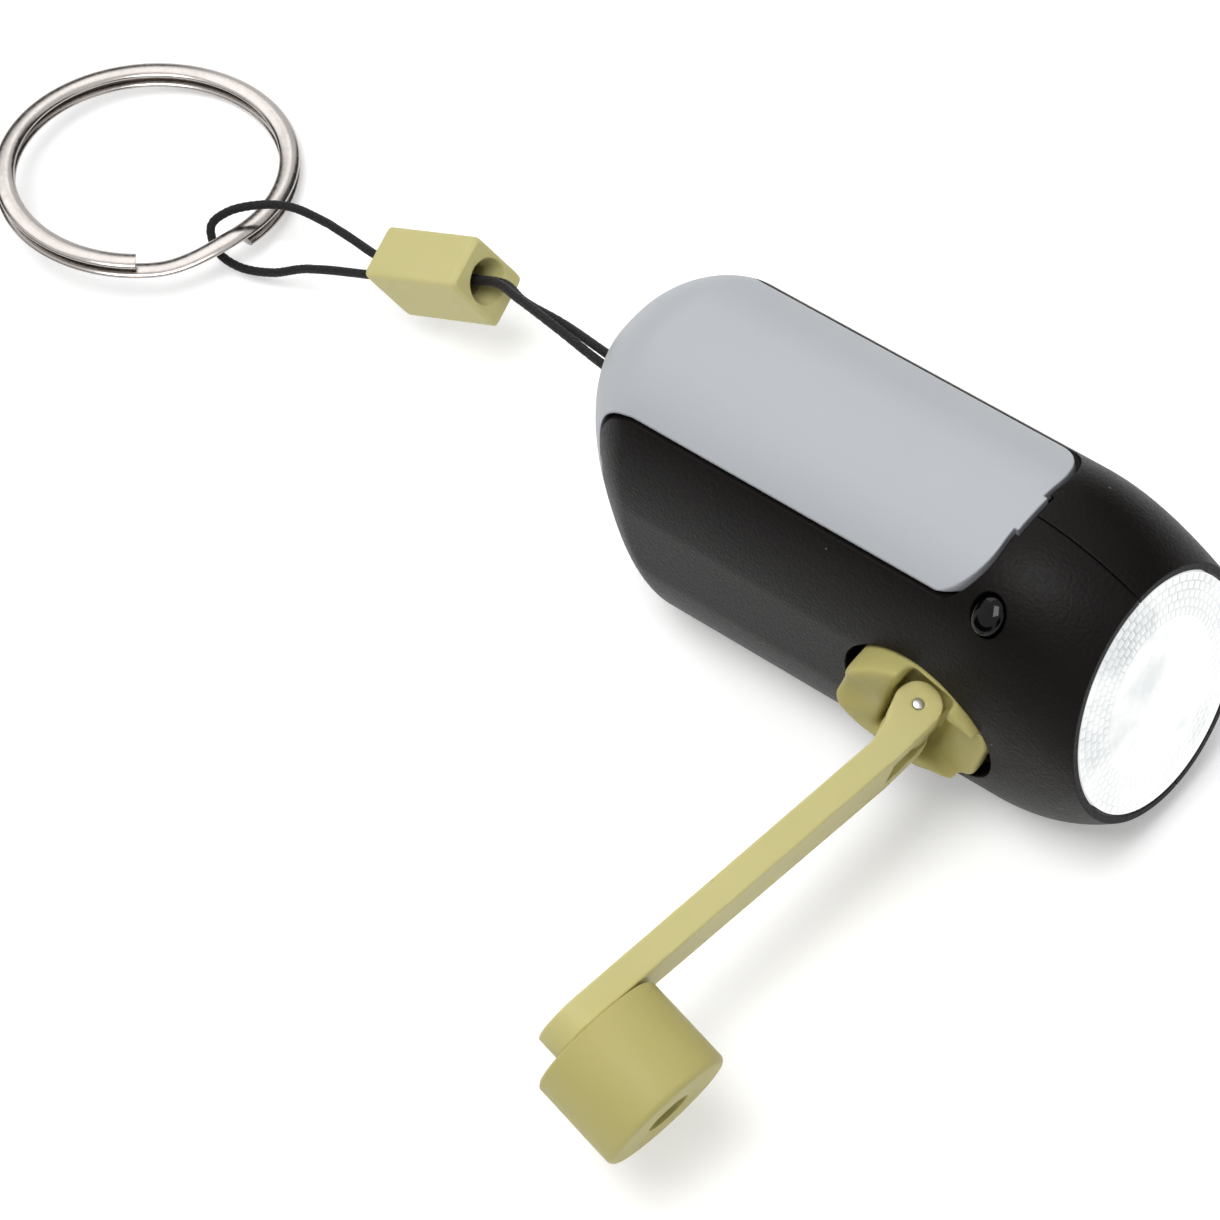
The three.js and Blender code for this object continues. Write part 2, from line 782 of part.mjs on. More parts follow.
function pushButton() {
  const profile = [
    [0, -buttonDepth],
    [1, -buttonDepth],
    [1, buttonProud / 3],
    [0.9, buttonProud * 0.68],
    [0.6, buttonProud * 0.92],
    [0, buttonProud],
  ];
  const cap = turned(profile, 20).scale([buttonHalfWidth, buttonHalfLength, 1]);
  const reach = buttonHalfWidth + buttonFlange;
  const flange = box([-reach, -buttonFlange, -buttonDepth], [reach, buttonHalfLength, buttonFlangeHeight - buttonDepth]);
  return cap.add(flange);
}

function switchBase() {
  const top = -buttonDepth - buttonTravel - switchGap;
  const block = box([-switchHalfWidth, -switchHalfWidth, top - switchHeight], [switchHalfWidth, switchHalfWidth, top]);
  return onNose(block);
}

// Gears: an involute outline about its own centre, carried along Y
function involute(angle) {
  return Math.tan(angle) - angle;
}

function gearOutline(teeth, firstTooth) {
  const pitch = (gearModule * teeth) / 2;
  const base = pitch * Math.cos(pressureAngle);
  const tip = pitch + gearModule * addendumShare;
  const root = pitch - gearModule * dedendumShare;
  const flankStart = Math.max(base, root);
  const atPitch = Math.PI / (2 * teeth) - backlash / (2 * pitch);
  const radii = [root, flankStart, (flankStart + tip) / 2, tip];
  const halves = radii.map((radius) => {
    const slope = Math.acos(Math.min(1, base / radius));
    return { radius, half: atPitch + involute(pressureAngle) - involute(slope) };
  });
  const points = [];
  for (let tooth = 0; tooth < teeth; tooth += 1) {
    const middle = firstTooth + (2 * Math.PI * tooth) / teeth;
    const rising = halves.map(({ radius, half }) => [radius, middle - half]);
    const falling = [...halves].reverse().map(({ radius, half }) => [radius, middle + half]);
    points.push(...rising, ...falling);
  }
  return polygon(points.map(([radius, angle]) => [radius * Math.cos(angle), radius * Math.sin(angle)]));
}

function gearSolid(teeth, firstTooth, layer, { x, z }) {
  const from = firstGearLayer + layer * gearLayerStep;
  return slabY(gearOutline(teeth, firstTooth), from, from + gearThickness).translate([x, 0, z]);
}

function step(from, angle) {
  const centreDistance = (gearModule * (wheelTeeth + pinionTeeth)) / 2;
  return { x: from.x + centreDistance * Math.cos(angle), z: from.z + centreDistance * Math.sin(angle) };
}

const hubPlace = { x: hubX, z: hubZ };
const firstIdler = step(hubPlace, firstLeg);
const secondIdler = step(firstIdler, secondLeg);
const rotorPlace = step(secondIdler, thirdLeg);
const pinionOffset = Math.PI + Math.PI / pinionTeeth;

function driveGear() {
  const gear = gearSolid(wheelTeeth, firstLeg, 0, hubPlace);
  const bore = barY(shaftRadius + runningGap, firstGearLayer - overrun, 0, hubX, hubZ, 20);
  return gear.subtract(bore);
}

function idlerGear(place, legIn, legOut, layer) {
  const pinion = gearSolid(pinionTeeth, legIn + pinionOffset, layer, place);
  const wheel = gearSolid(wheelTeeth, legOut, layer + 1, place);
  const pinionEnd = firstGearLayer + layer * gearLayerStep + gearThickness;
  const collar = barY(collarRadius, pinionEnd - gap, pinionEnd + gap + gap, place.x, place.z, 16);
  const bore = barY(axleRadius + runningGap, -outOfReach, 0, place.x, place.z, 16);
  return joined([pinion, wheel, collar]).subtract(bore);
}

function idlerAxle({ x, z }) {
  return barY(axleRadius, firstGearLayer - gap, plateNear + plateThickness, x, z, 16);
}

function rotorPinion() {
  const pinion = gearSolid(pinionTeeth, thirdLeg + pinionOffset, 2, rotorPlace);
  return pinion.subtract(barY(axleRadius + runningGap, -outOfReach, 0, rotorPlace.x, rotorPlace.z, 16));
}

// Plate behind the gears, with posts to the near wall
function gearPlate() {
  const plate = box(
    [plateRear, plateNear, -plateHalfHeight],
    [plateFront, plateNear + plateThickness, plateHalfHeight],
  );
  const nearWall = caseBody(wall + gap / 2);
  const posts = platePosts.map(({ x, z }) =>
    barY(platePostRadius, -sideFlat, plateNear + plateThickness / 2, x, z, 14).intersect(nearWall),
  );
  const axleHoles = [firstIdler, secondIdler].map(({ x, z }) =>
    barY(axleRadius + runningGap, plateNear - overrun, 0, x, z, 16),
  );
  const rotorHole = barY(axleRadius + runningGap, plateNear - overrun, 0, rotorPlace.x, rotorPlace.z, 16);
  return cut(joined([plate, ...posts]), [...axleHoles, rotorHole]);
}

// Generator: an open can with a coil in it, and the magnet that turns inside
const statorNear = plateNear + plateThickness + gap;

function ringY(outer, inner, from, to, { x, z }, sides) {
  return barY(outer, from, to, x, z, sides).subtract(barY(inner, from - overrun, to + overrun, x, z, sides));
}

function statorShell() {
  const can = barY(statorRadius, statorNear, statorNear + statorDepth, rotorPlace.x, rotorPlace.z, 32);
  const room = barY(statorRadius - statorWall, -outOfReach, statorNear + statorDepth - statorWall, rotorPlace.x, rotorPlace.z, 32);
  return can.subtract(room);
}

function statorCoil() {
  const from = statorNear + (statorDepth - statorWall - coilDepth) / 2;
  return ringY(coilOuter, coilInner, from, from + coilDepth, rotorPlace, 28);
}

const magnetNear = statorNear + (statorDepth - statorWall - magnetDepth) / 2;

function rotorMagnet() {
  return ringY(magnetRadius, axleRadius + runningGap, magnetNear, magnetNear + magnetDepth, rotorPlace, 24);
}

function rotorShaft() {
  const from = firstGearLayer + 2 * gearLayerStep;
  return barY(axleRadius, from, magnetNear + magnetDepth, rotorPlace.x, rotorPlace.z, 16);
}

// Main board and the cell with its two contacts
function mainBoard() {
  return box([boardRear, boardNear, -boardHalfHeight], [boardFront, boardNear + boardThickness, boardHalfHeight]);
}

const cellNear = boardNear + boardThickness + gap + contactThickness + gap;

function cell() {
  return barY(cellRadius, cellNear, cellNear + cellThickness, cellX, 0, 36);
}

function contact(from) {
  return box([cellX - cellRadius, from, -contactHalfWidth], [cellX + cellRadius, from + contactThickness, contactHalfWidth]);
}

// Crank hub: a rimmed disc with a trough for the folded arm and a slot for its boss, closed at one end
function crankHub() {
  const reach = 2 * hubRadius;
  const profile = [
    [0, stemFoot],
    [stemRadius, stemFoot],
    [stemRadius, hubFoot],
    [hubRadius, hubFoot],
    [hubRadius, hubCrest - 2 * hubEdge],
    [hubRadius - hubEdge / 3, hubCrest - hubEdge],
    [hubRadius - hubEdge, hubCrest],
    [0, hubCrest],
  ];
  const side = polygon([
    [-hubFlat, stemFoot],
    [hubFlat, stemFoot],
    ...hubTopLine,
  ]);
  const ends = polygon([
    [hubEnd, stemFoot],
    ...[...hubEndLine].reverse(),
    [-hubEnd, stemFoot],
  ]);
  const trough = polygon(hubTrough);
  const slotSide = polygon([
    [-hubTroughHalf, hubSlotFloor],
    [armHalfDepth, hubSlotFloor],
    [hubRadius, sideFlat + slotLip],
    [hubRadius, hubCrest + overrun],
    [-hubTroughHalf, hubCrest + overrun],
  ]);
  const slot = slabX(slotSide, -hubSlotHalf, hubSlotHalf);
  const dish = solid(new THREE.SphereGeometry(dishSphere, 28, 14)).translate([dishX, dishY, dishFloor + dishSphere]);
  const knuckleFoot = box([-knuckleRadius, -knuckleHalf, hubSlotFloor - gap], [knuckleRadius, knuckleHalf, pinHeight]);
  const knuckleRound = barY(knuckleRadius, -knuckleHalf, knuckleHalf, 0, pinHeight, 24);
  const bore = barZ(shaftRadius + runningGap, stemFoot - overrun, shaftTop + runningGap, 0, 0, 20);
  const pinHole = barY(pinRadius + runningGap, -reach, reach, 0, pinHeight, 16);
  const block = turned(profile, 48).intersect(slabY(side, -reach, reach)).intersect(slabX(ends, -reach, reach));
  const disc = cut(block, [slabY(trough, -hubTroughHalf, hubTroughHalf), slot, dish]);
  return cut(joined([disc, knuckleFoot, knuckleRound]), [bore, pinHole]);
}

function crankShaft() {
  return barZ(shaftRadius, shaftFoot, shaftTop, 0, 0, 20);
}

// Crank arm from its pin to the knob: +Z along the arm, +X towards the knob, +Y along the pin
function crankArm() {
  const side = polygon([
    [-bossRadius, 0],
    [-0.7 * bossRadius, 0.9 * bossRadius],
    [-0.35 * bossRadius, 1.5 * bossRadius],
    [armInner, 2.5 * bossRadius],
    [armInner, armLength + armEndRadius],
    [armOuter, armLength + armEndRadius],
    [armOuter, 2 * bossRadius],
    [bossRadius, 0],
  ]);
  const plan = new THREE.Shape();
  plan.moveTo(-armHalfDepth, -bossRadius);
  plan.lineTo(armHalfDepth, -bossRadius);
  plan.lineTo(armEndRadius, armLength);
  plan.absarc(0, armLength, armEndRadius, 0, Math.PI, false);
  const reach = 3 * bossRadius;
  const strap = slabY(side, -reach, reach).add(barY(bossRadius, -reach, reach, 0, 0, 28));
  const body = strap.intersect(slabX(plan, -reach, reach));
  const post = barX(postRadius, armOuter - gap, postEnd, 0, armLength, 24);
  const fork = box([-reach, -forkHalfWidth, -reach], [reach, forkHalfWidth, forkReach]);
  const pinHole = barY(pinRadius + runningGap, -reach - overrun, reach + overrun, 0, 0, 16);
  const threadHole = barX(screwRadius + threadGap, postEnd - screwReach - gap, postEnd + overrun, 0, armLength, 14);
  return cut(body.add(post), [fork, pinHole, threadHole]);
}

function hingePin() {
  const half = armHalfDepth + pinHeadProud;
  return barY(pinRadius, -half, half, 0, 0, 16);
}

// Knob: a rounded drum on the post, with a screw at the bottom of its bore
const knobStart = armOuter + gap;
const knobEnd = knobStart + knobLength;
const boreFloor = knobEnd - knobBoreDepth;
const postEnd = boreFloor - runningGap;

function knob() {
  const profile = [[0, 0], [knobRadius - knobRounding / 2, 0], [knobRadius, knobRounding / 2]];
  for (const angle of [0, 30, 60, 90]) {
    const radius = knobRadius - knobRounding * (1 - Math.cos(angle * degree));
    profile.push([radius, knobLength - knobRounding * (1 - Math.sin(angle * degree))]);
  }
  profile.push([0, knobLength]);
  const drum = turned(profile, 36).rotate([0, 90, 0]).translate([knobStart, 0, 0]);
  const bore = barX(postRadius + runningGap, 0, knobEnd, 0, 0, 24);
  const mouth = barX(knobBore, boreFloor, knobEnd + overrun, 0, 0, 24);
  return cut(drum, [bore, mouth]);
}

function knobScrew() {
  const head = barX(screwHeadRadius, boreFloor + threadGap, boreFloor + threadGap + screwHeadHeight, 0, 0, 20);
  const shank = barX(screwRadius, postEnd - screwReach, boreFloor + screwHeadHeight, 0, 0, 12);
  return head.add(shank);
}

// Bead: a soft-edged block with an oval bore that opens like a funnel towards the torch
function bead() {
  const half = beadLength / 2;
  const shares = [
    { x: half, share: beadEndShare },
    { x: half - beadChamfer, share: 1 },
    { x: beadChamfer - half, share: 1 },
    { x: -half, share: beadEndShare },
  ];
  const block = skin(
    shares.map(({ x, share }) => ovalRing(x, beadHalfWidth * share, beadHalfHeight * share, beadExponent, 32)),
  );
  const boreWide = beadBore + beadBoreSpread;
  const bore = skin([ovalRing(beadLength, boreWide, beadBore, 2, 20), ovalRing(-beadLength, boreWide, beadBore, 2, 20)]);
  const mouth = skin([
    ovalRing(beadLength, beadMouth, beadMouth, 2, 20),
    ovalRing(half, beadMouth, beadMouth, 2, 20),
    ovalRing(half - beadMouthDepth, beadMouthEnd, beadMouthEnd, 2, 20),
  ]);
  return cut(block, [bore, mouth]);
}

// Split ring: a flat wire wound almost twice round, stepping up once between its two layers
function ringPoint(turns, across, up) {
  const share = Math.min(1, Math.max(0, (turns - ringJogStart) / (ringJogEnd - ringJogStart)));
  const lift = (share * share * (3 - 2 * share) - 0.5) * (ringWire + ringCoilGap);
  const angle = 2 * Math.PI * turns;
  const radius = ringRadius - ringBand / 2 + across;
  return new THREE.Vector3(radius * Math.cos(angle), radius * Math.sin(angle), lift + up);
}

function splitRing() {
  const rings = [];
  for (let number = 0; number <= ringSteps; number += 1) {
    const turns = ringFirstTurn + ((ringLastTurn - ringFirstTurn) * number) / ringSteps;
    const profile = ovalRing(0, ringBand / 2, ringWire / 2, ringCornerShare, ringSides);
    rings.push(profile.map(({ y, z }) => ringPoint(turns, y, z)));
  }
  return skin(rings);
}

// Cord: out of the case, through the bead, round the ring and back again
function beadFrame() {
  const turn = new THREE.Euler(beadRoll, beadPitch, beadYaw, "ZYX");
  return new THREE.Matrix4().makeRotationFromEuler(turn).setPosition(beadCentre);
}

function inBead(x, y, z) {
  return new THREE.Vector3(x, y, z).applyMatrix4(beadFrame());
}

function strandOffset(half, turn) {
  return new THREE.Vector3(0, half * Math.cos(turn * degree), half * Math.sin(turn * degree));
}

function strandOut(side) {
  const start = new THREE.Vector3(cordStart, side * cordStrandHalf, cordHoleZ);
  const leaving = cordLeaving.map(([x, y, z, turn]) => {
    return fromRear([x, y, z]).add(strandOffset(side * cordStrandHalf, turn));
  });
  const throughBead = cordInBead.map(([x, half, turn]) => {
    const off = strandOffset(side * half, turn);
    return inBead(x, off.y, off.z);
  });
  return [start, ...leaving, ...throughBead];
}

function cordRoute() {
  return [...strandOut(1), ...cordLoop.map(fromRear), ...strandOut(-1).reverse()];
}

function cord() {
  const path = new THREE.CatmullRomCurve3(cordRoute(), false, "centripetal");
  const outline = new THREE.Shape();
  outline.absarc(0, 0, cordDiameter / 2, 0, 2 * Math.PI, false);
  const plain = outline.getSpacedPoints(cordSides).slice(0, cordSides);
  const geometry = new THREE.ExtrudeGeometry(new THREE.Shape(plain), {
    steps: cordSteps,
    extrudePath: path,
    bevelEnabled: false,
  });
  return solid(geometry);
}

// Assembly
const torch = new THREE.Group();
torch.name = "torch";
torch.position.set(-bellyMiddle, 0, bellyDepth);

function moving(name, place) {
  const holder = new THREE.Group();
  holder.name = name;
  holder.position.copy(place);
  return holder;
}

torch.add(piece("housing_near", nearShell(), "black"));
torch.add(piece("housing_far", farShell(), "black"));
torch.add(piece("top_panel", topPanel(), "grey"));
torch.add(piece("lens", lens(), "clear"));
torch.add(piece("reflector", reflector(), "chromed"));
torch.add(piece("lamp_board", lampBoard(), "board"));
lampPlaces.forEach((place, number) => torch.add(piece(`lamp_${number + 1}`, lampAt(place), "white")));
torch.add(piece("switch_base", switchBase(), "gloss"));
caseScrews.forEach((place, number) => torch.add(piece(`case_screw_${number + 1}`, caseScrew(place), "steel")));
torch.add(piece("gear_plate", gearPlate(), "steel"));
torch.add(piece("idler_axle_1", idlerAxle(firstIdler), "steel"));
torch.add(piece("idler_axle_2", idlerAxle(secondIdler), "steel"));
torch.add(piece("stator_shell", statorShell(), "steel"));
torch.add(piece("stator_coil", statorCoil(), "copper"));
torch.add(piece("main_board", mainBoard(), "board"));
torch.add(piece("cell", cell(), "steel"));
torch.add(piece("contact_near", contact(boardNear + boardThickness + gap), "nickel"));
torch.add(piece("contact_far", contact(cellNear + cellThickness + gap), "nickel"));
torch.add(
  piece(
    "cord_bar",
    barY(cordBarRadius, -cordBarHalfLength, cordBarHalfLength, cordBarX, cordHoleZ, 14),
    "steel",
  ),
);
torch.add(piece("idler_gear_1", idlerGear(firstIdler, firstLeg, secondLeg, 0), "gear"));
torch.add(piece("idler_gear_2", idlerGear(secondIdler, secondLeg, thirdLeg, 1), "gear"));
torch.add(piece("rotor_pinion", rotorPinion(), "gear"));
torch.add(piece("rotor_shaft", rotorShaft(), "steel"));
torch.add(piece("rotor_magnet", rotorMagnet(), "magnet"));
torch.add(piece("drive_gear", driveGear(), "gear"));

const button = moving("button", new THREE.Vector3(buttonX, buttonY, buttonZ));
button.rotation.set(buttonTilt, 0, 0);
button.add(piece("push_button", pushButton(), "gloss"));
torch.add(button);

const crank = moving("crank", new THREE.Vector3(hubX, 0, hubZ));
crank.rotation.set(quarterTurn, 0, -crankTurn);
crank.add(piece("crank_hub", crankHub(), "yellow"));
crank.add(piece("crank_shaft", crankShaft(), "steel"));
torch.add(crank);

const arm = moving("arm", new THREE.Vector3(0, 0, pinHeight));
arm.rotation.set(0, foldAngle - quarterTurn, 0);
arm.add(piece("crank_arm", crankArm(), "yellow"));
arm.add(piece("hinge_pin", hingePin(), "steel"));
crank.add(arm);

const knobGroup = moving("knob_group", new THREE.Vector3(0, 0, armLength));
knobGroup.add(piece("knob", knob(), "yellow"));
knobGroup.add(piece("knob_screw", knobScrew(), "steel"));
arm.add(knobGroup);

const beadGroup = moving("bead_group", beadCentre);
beadGroup.rotation.set(beadRoll, beadPitch, beadYaw, "ZYX");
beadGroup.add(piece("bead", bead(), "yellow"));
torch.add(beadGroup);

const ring = moving("ring", ringCentre);
ring.rotation.set(ringLean, ringPitch, ringEndAngle, "YXZ");
ring.add(piece("split_ring", splitRing(), "nickel"));
torch.add(ring);

torch.add(piece("cord_loop", cord(), "cord"));

const group = new THREE.Group();
group.name = "hand_crank_torch";
group.add(torch);

export default group;
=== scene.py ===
# Looks for the hand crank torch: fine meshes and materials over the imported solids.
# Shapes are modelled in millimetres from the lens axis, as the solids are, and turned into metres
# when they are placed. What is finer here than on the solids has a section of its own.
import json
import math

import bmesh
import bpy
import numpy as np
from mathutils import Matrix, Vector


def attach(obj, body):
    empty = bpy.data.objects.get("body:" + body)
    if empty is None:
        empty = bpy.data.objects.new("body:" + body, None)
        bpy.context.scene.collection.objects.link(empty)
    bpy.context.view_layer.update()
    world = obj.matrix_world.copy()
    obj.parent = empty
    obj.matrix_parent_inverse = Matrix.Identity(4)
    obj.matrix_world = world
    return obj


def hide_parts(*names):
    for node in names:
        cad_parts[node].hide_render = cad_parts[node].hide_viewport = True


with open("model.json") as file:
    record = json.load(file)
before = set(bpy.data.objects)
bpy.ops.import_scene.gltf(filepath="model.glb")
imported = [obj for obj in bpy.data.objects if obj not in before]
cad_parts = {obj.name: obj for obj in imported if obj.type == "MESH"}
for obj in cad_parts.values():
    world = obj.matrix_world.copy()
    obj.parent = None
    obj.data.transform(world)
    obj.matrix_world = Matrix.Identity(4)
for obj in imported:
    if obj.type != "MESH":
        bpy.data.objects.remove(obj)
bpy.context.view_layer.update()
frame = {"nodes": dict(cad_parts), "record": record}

MM = 0.001
DEGREE = math.pi / 180
QUARTER = math.pi / 2

# Places and shapes that are the same on the solids
BELLY_MIDDLE = -28.4
BELLY_DEPTH = 15.9
CASE_LENGTH = 57.6
CASE_HALF_WIDTH = 11.9
CASE_HALF_HEIGHT = 17.3
RIM_HALF_WIDTH = 10.95
RIM_HALF_HEIGHT = 13.2
NOSE_LENGTH = 11
REAR_CAP_LENGTH = 10.2
REAR_TIP_HALF_HEIGHT = 3
REAR_WIDTH_EXPONENT = 1.6
REAR_HEIGHT_EXPONENT = 1.9
RIM_EXPONENT = 2
CASE_EXPONENT = 2.5
SIDE_FLAT = 11.75
WALL = 2.1
CAVITY_TOP = 13.4
TAB_HALF_LENGTH = 4
TAB_REACH = 2.5
GAP = 0.3
RUNNING_GAP = 0.08
OVERRUN = 2
PANEL_THICKNESS = 1.1
PANEL_GAP = 0.4
PANEL_FRONT = -10.6
PANEL_EDGE_HEIGHT = 13.75
PANEL_HALF_WIDTH = 8.75
PANEL_CORNER_RADIUS = 5
PANEL_DROP_START = -46.6
PANEL_DROP_RADIUS = 4.5
PANEL_FLARE = 1.3
TONGUE_END = -4
CLIP_HALF_WIDTH = 1.9
CLIP_REACH = 0.4
LENS_HALF_WIDTH = 10.1
LENS_HALF_HEIGHT = 12.35
LENS_THICKNESS = 1.6
LENS_DOME = 0.5
BUTTON_PLACE = Vector((-8.9, -8.1, 13.7))
BUTTON_TILT = 31 * DEGREE
BUTTON_HALF_WIDTH = 1.45
BUTTON_HALF_LENGTH = 1.75
BUTTON_PROUD = 0.75
BUTTON_DEPTH = 3.6
HUB_X = -16.26
HUB_Z = -1.34
HUB_RADIUS = 7.3
HUB_FLAT = 6.6
HUB_FOOT = 9.9
HUB_CREST = 14.5
HUB_EDGE = 0.5
HUB_TROUGH_HALF = 4.75
HUB_SLOT_HALF = 2.4
HUB_SLOT_FLOOR = 10.5
HUB_END = 8
HUB_TOP_LINE = [
    (6.6, 11.9), (5.9, 12.6), (3.2, 12.6), (2.4, 12.9),
    (-2.4, 13.3), (-4.4, 13.9), (-6.2, 14.5), (-6.6, 14.2),
]
HUB_END_LINE = [(-8, 13.1), (-3, 14.5), (8, 14.5)]
HUB_TROUGH = [(2, 10.9), (7.5, 12.1), (7.5, 16), (2, 16)]
SLOT_LIP = 0.1
DISH_SPHERE = 5.5
DISH_PLACE = (-4.3, -0.3, 13.2)
KNUCKLE_HALF = 1.9
KNUCKLE_RADIUS = 1.8
STEM_RADIUS = 2.2
STEM_FOOT = 8.45
WELL_GAP = 0.4
WELL_FLOOR = 9.6
CUP_WALL = 1.1
SHAFT_RADIUS = 1.2
SHAFT_TOP = 9.8
CRANK_TURN = 23.75 * DEGREE
FOLD_ANGLE = 83.35 * DEGREE
PIN_HEIGHT = 12.86
PIN_RADIUS = 0.5
PIN_PROUD = 0.1
BOSS_RADIUS = 2.05
ARM_HALF_DEPTH = 4.45
ARM_END_RADIUS = 3.6
ARM_INNER = -0.2
ARM_OUTER = 2.3
ARM_LENGTH = 38.1
FORK_HALF_WIDTH = 2.2
FORK_REACH = 4.3
KNOB_RADIUS = 6.25
KNOB_LENGTH = 8.8
KNOB_BORE = 2.05
KNOB_BORE_DEPTH = 4.2
POST_RADIUS = 1.55
SCREW_HEAD_RADIUS = 1.7
SCREW_HEAD_HEIGHT = 0.9
SCREW_RADIUS = 0.6
SCREW_REACH = 3.2
THREAD_GAP = 0.15
CASE_SCREWS = [(-12.2, -11.8, 7.15), (-47.4, 5, 10.1), (-47.4, -11.8, 7.15)]
SCREW_BOSS = 2.2
CASE_SCREW_RADIUS = 0.8
CASE_SCREW_HEAD = 1.5
CASE_SCREW_HEAD_HEIGHT = 1.1
CASE_SCREW_REACH = 6.5
CORD_HOLE_HALF_WIDTH = 1.4
CORD_HOLE_HALF_HEIGHT = 1.1
CORD_HOLE_Z = 3.2
CORD_BAR_X = -51.6
CORD_BAR_SEAT = 1.6
CORD_BAR_RADIUS = 0.8
CORD_BAR_HALF_LENGTH = 4.2
CORD_DIAMETER = 0.85
CORD_STRAND_HALF = 0.52
CORD_START = -54.6
CORD_LEAVING = [(-57.6, 0, 3.2, 0), (-60.8, 0.5, 2.7, 0), (-67.5, 1.9, 1.2, -30), (-74, 3.3, -0.9, -62)]
CORD_IN_BEAD = [(7.6, 0.55, -62.5), (4, 0.58, -50), (0, 0.65, -30), (-4, 0.72, -10), (-7.6, 0.75, 0)]
BEAD_LENGTH = 12
BEAD_HALF_WIDTH = 2.7
BEAD_HALF_HEIGHT = 3.6
BEAD_CHAMFER = 0.4
BEAD_END_SHARE = 0.9
BEAD_BORE = 1.3
BEAD_BORE_SPREAD = 0.2
BEAD_MOUTH = 2.15
BEAD_MOUTH_END = 1
BEAD_MOUTH_DEPTH = 3.2
BEAD_CENTRE = Vector((-84.95, 3.63, -5.12))
BEAD_PITCH = -20.9 * DEGREE
BEAD_YAW = 6.8 * DEGREE
BEAD_ROLL = 12.4 * DEGREE
RING_RADIUS = 14.35
RING_BAND = 1.95
RING_WIRE = 0.75
RING_COIL_GAP = 0.42
RING_CORNER_SHARE = 2
RING_FIRST_TURN = 0.03
RING_LAST_TURN = 1.9
RING_JOG_START = 0.92
RING_JOG_END = 1.02
RING_CENTRE = Vector((-123.2, 1.65, -12.07))
RING_LEAN = -11.7 * DEGREE
RING_PITCH = 2.5 * DEGREE
RING_END_ANGLE = -14 * DEGREE

# Shapes that are finer here than on the solids, or only here
SEAM = 0.12
LENS_GAP = 0.2
BUTTON_GAP = 0.15
BUTTON_CROWN = 0.85
BUTTON_SKIRT = 0.1
PIN_SHRINK = 0.02
PIN_EDGE = 0.08
PIN_DIMPLE = 0.06
KNOB_ROUNDING = 0.6
KNOB_BACK_EDGE = (0.12, 0.15)
KNOB_LIP = 0.18
KNOB_LIP_CORNER = 0.05
SCREW_ROUNDING = 0.25
SCREW_TIP = 0.3
BEAD_EXPONENT = 12
PLIES = 3
PLY_TWIST_LENGTH = 1.9
PLY_GROOVE = 0.16
PRISM_ROWS = 5
PRISM_COUNT = 66
PRISM_START = 0.66
PRISM_END = 0.995
PRISM_HEIGHT = 0.14

# Painted shade in the valleys between the prisms: how dark, from where on and over what span; and the
# painted glow of the back of the lens
HOLLOW_SHADE = 0.6
HOLLOW_START = 0.7
HOLLOW_SPAN = 0.3
LENS_BACK_GLOW = 0.8

# Moulded pieces: the size of a voxel and the rounds of smoothing
HUB_FORM = (0.14, 90)
HUB_FINISH = (0.1, 6)
ARM_FINISH = (0.13, 4)
BEAD_FINISH = (0.1, 2)

# How finely the meshes are drawn
SECTION_SIDES = 320
NOSE_STATIONS = 30
CAP_STATIONS = 34
BODY_STATIONS = 24
LAST_CAP_SHARE = 0.9995
FLAT_SOFTNESS = 0.012
ROUND_SIDES = 96
SMALL_SIDES = 40
CORD_SIDES = 24
CORD_STEPS = 18
PANEL_DROP_STEPS = 40
ARM_END_STEPS = 48
BUTTON_STEPS = 12
SCREW_RIM_STEPS = 5
DISH_SIDES = 64
BEAD_SIDES = 160
LENS_SIDES = 480
LENS_ROWS = 90
RING_STEPS = 520
RING_SIDES = 32
FLAG_STEPS = 24

# Camera, found by fitting known points of the solids to the photograph
CAMERA_PLACE = Vector((0.2398, -0.1973, 0.4143))
CAMERA_RIGHT = Vector((0.7423, 0.6432, -0.1877))
CAMERA_UP = Vector((-0.4402, 0.6793, 0.5873))
CAMERA_LENS = 177.05
CAMERA_SENSOR = 36
CAMERA_REACH = 100

# Studio, with lengths in metres
FLAG_RADIUS = 0.9
FLOOR_HALF = 3
FLOOR_GLOW = 0.3
SOFT_LIGHT = 0.42

# Dark flags: where each starts and ends round the table, in degrees, and its foot and top, in metres
FLAGS = [(20, 110, 0.05, 0.75), (135, 200, 0.1, 0.6), (215, 300, 0.05, 0.5), (320, 350, 0.1, 0.8)]

torch_frame = Matrix.Translation((-BELLY_MIDDLE, 0, BELLY_DEPTH))


def turn(angle, axis):
    return Matrix.Rotation(angle, 4, axis)


crank_frame = (
    torch_frame
    @ Matrix.Translation((HUB_X, 0, HUB_Z))
    @ turn(QUARTER, "X")
    @ turn(-CRANK_TURN, "Z")
)
arm_frame = crank_frame @ Matrix.Translation((0, 0, PIN_HEIGHT)) @ turn(FOLD_ANGLE - QUARTER, "Y")
knob_frame = arm_frame @ Matrix.Translation((0, 0, ARM_LENGTH))
bead_local = (
    Matrix.Translation(BEAD_CENTRE)
    @ turn(BEAD_YAW, "Z")
    @ turn(BEAD_PITCH, "Y")
    @ turn(BEAD_ROLL, "X")
)
bead_frame = torch_frame @ bead_local
ring_frame = (
    torch_frame
    @ Matrix.Translation(RING_CENTRE)
    @ turn(RING_PITCH, "Y")
    @ turn(RING_LEAN, "X")
    @ turn(RING_END_ANGLE, "Z")
)
button_frame = torch_frame @ Matrix.Translation(BUTTON_PLACE) @ turn(BUTTON_TILT, "X")


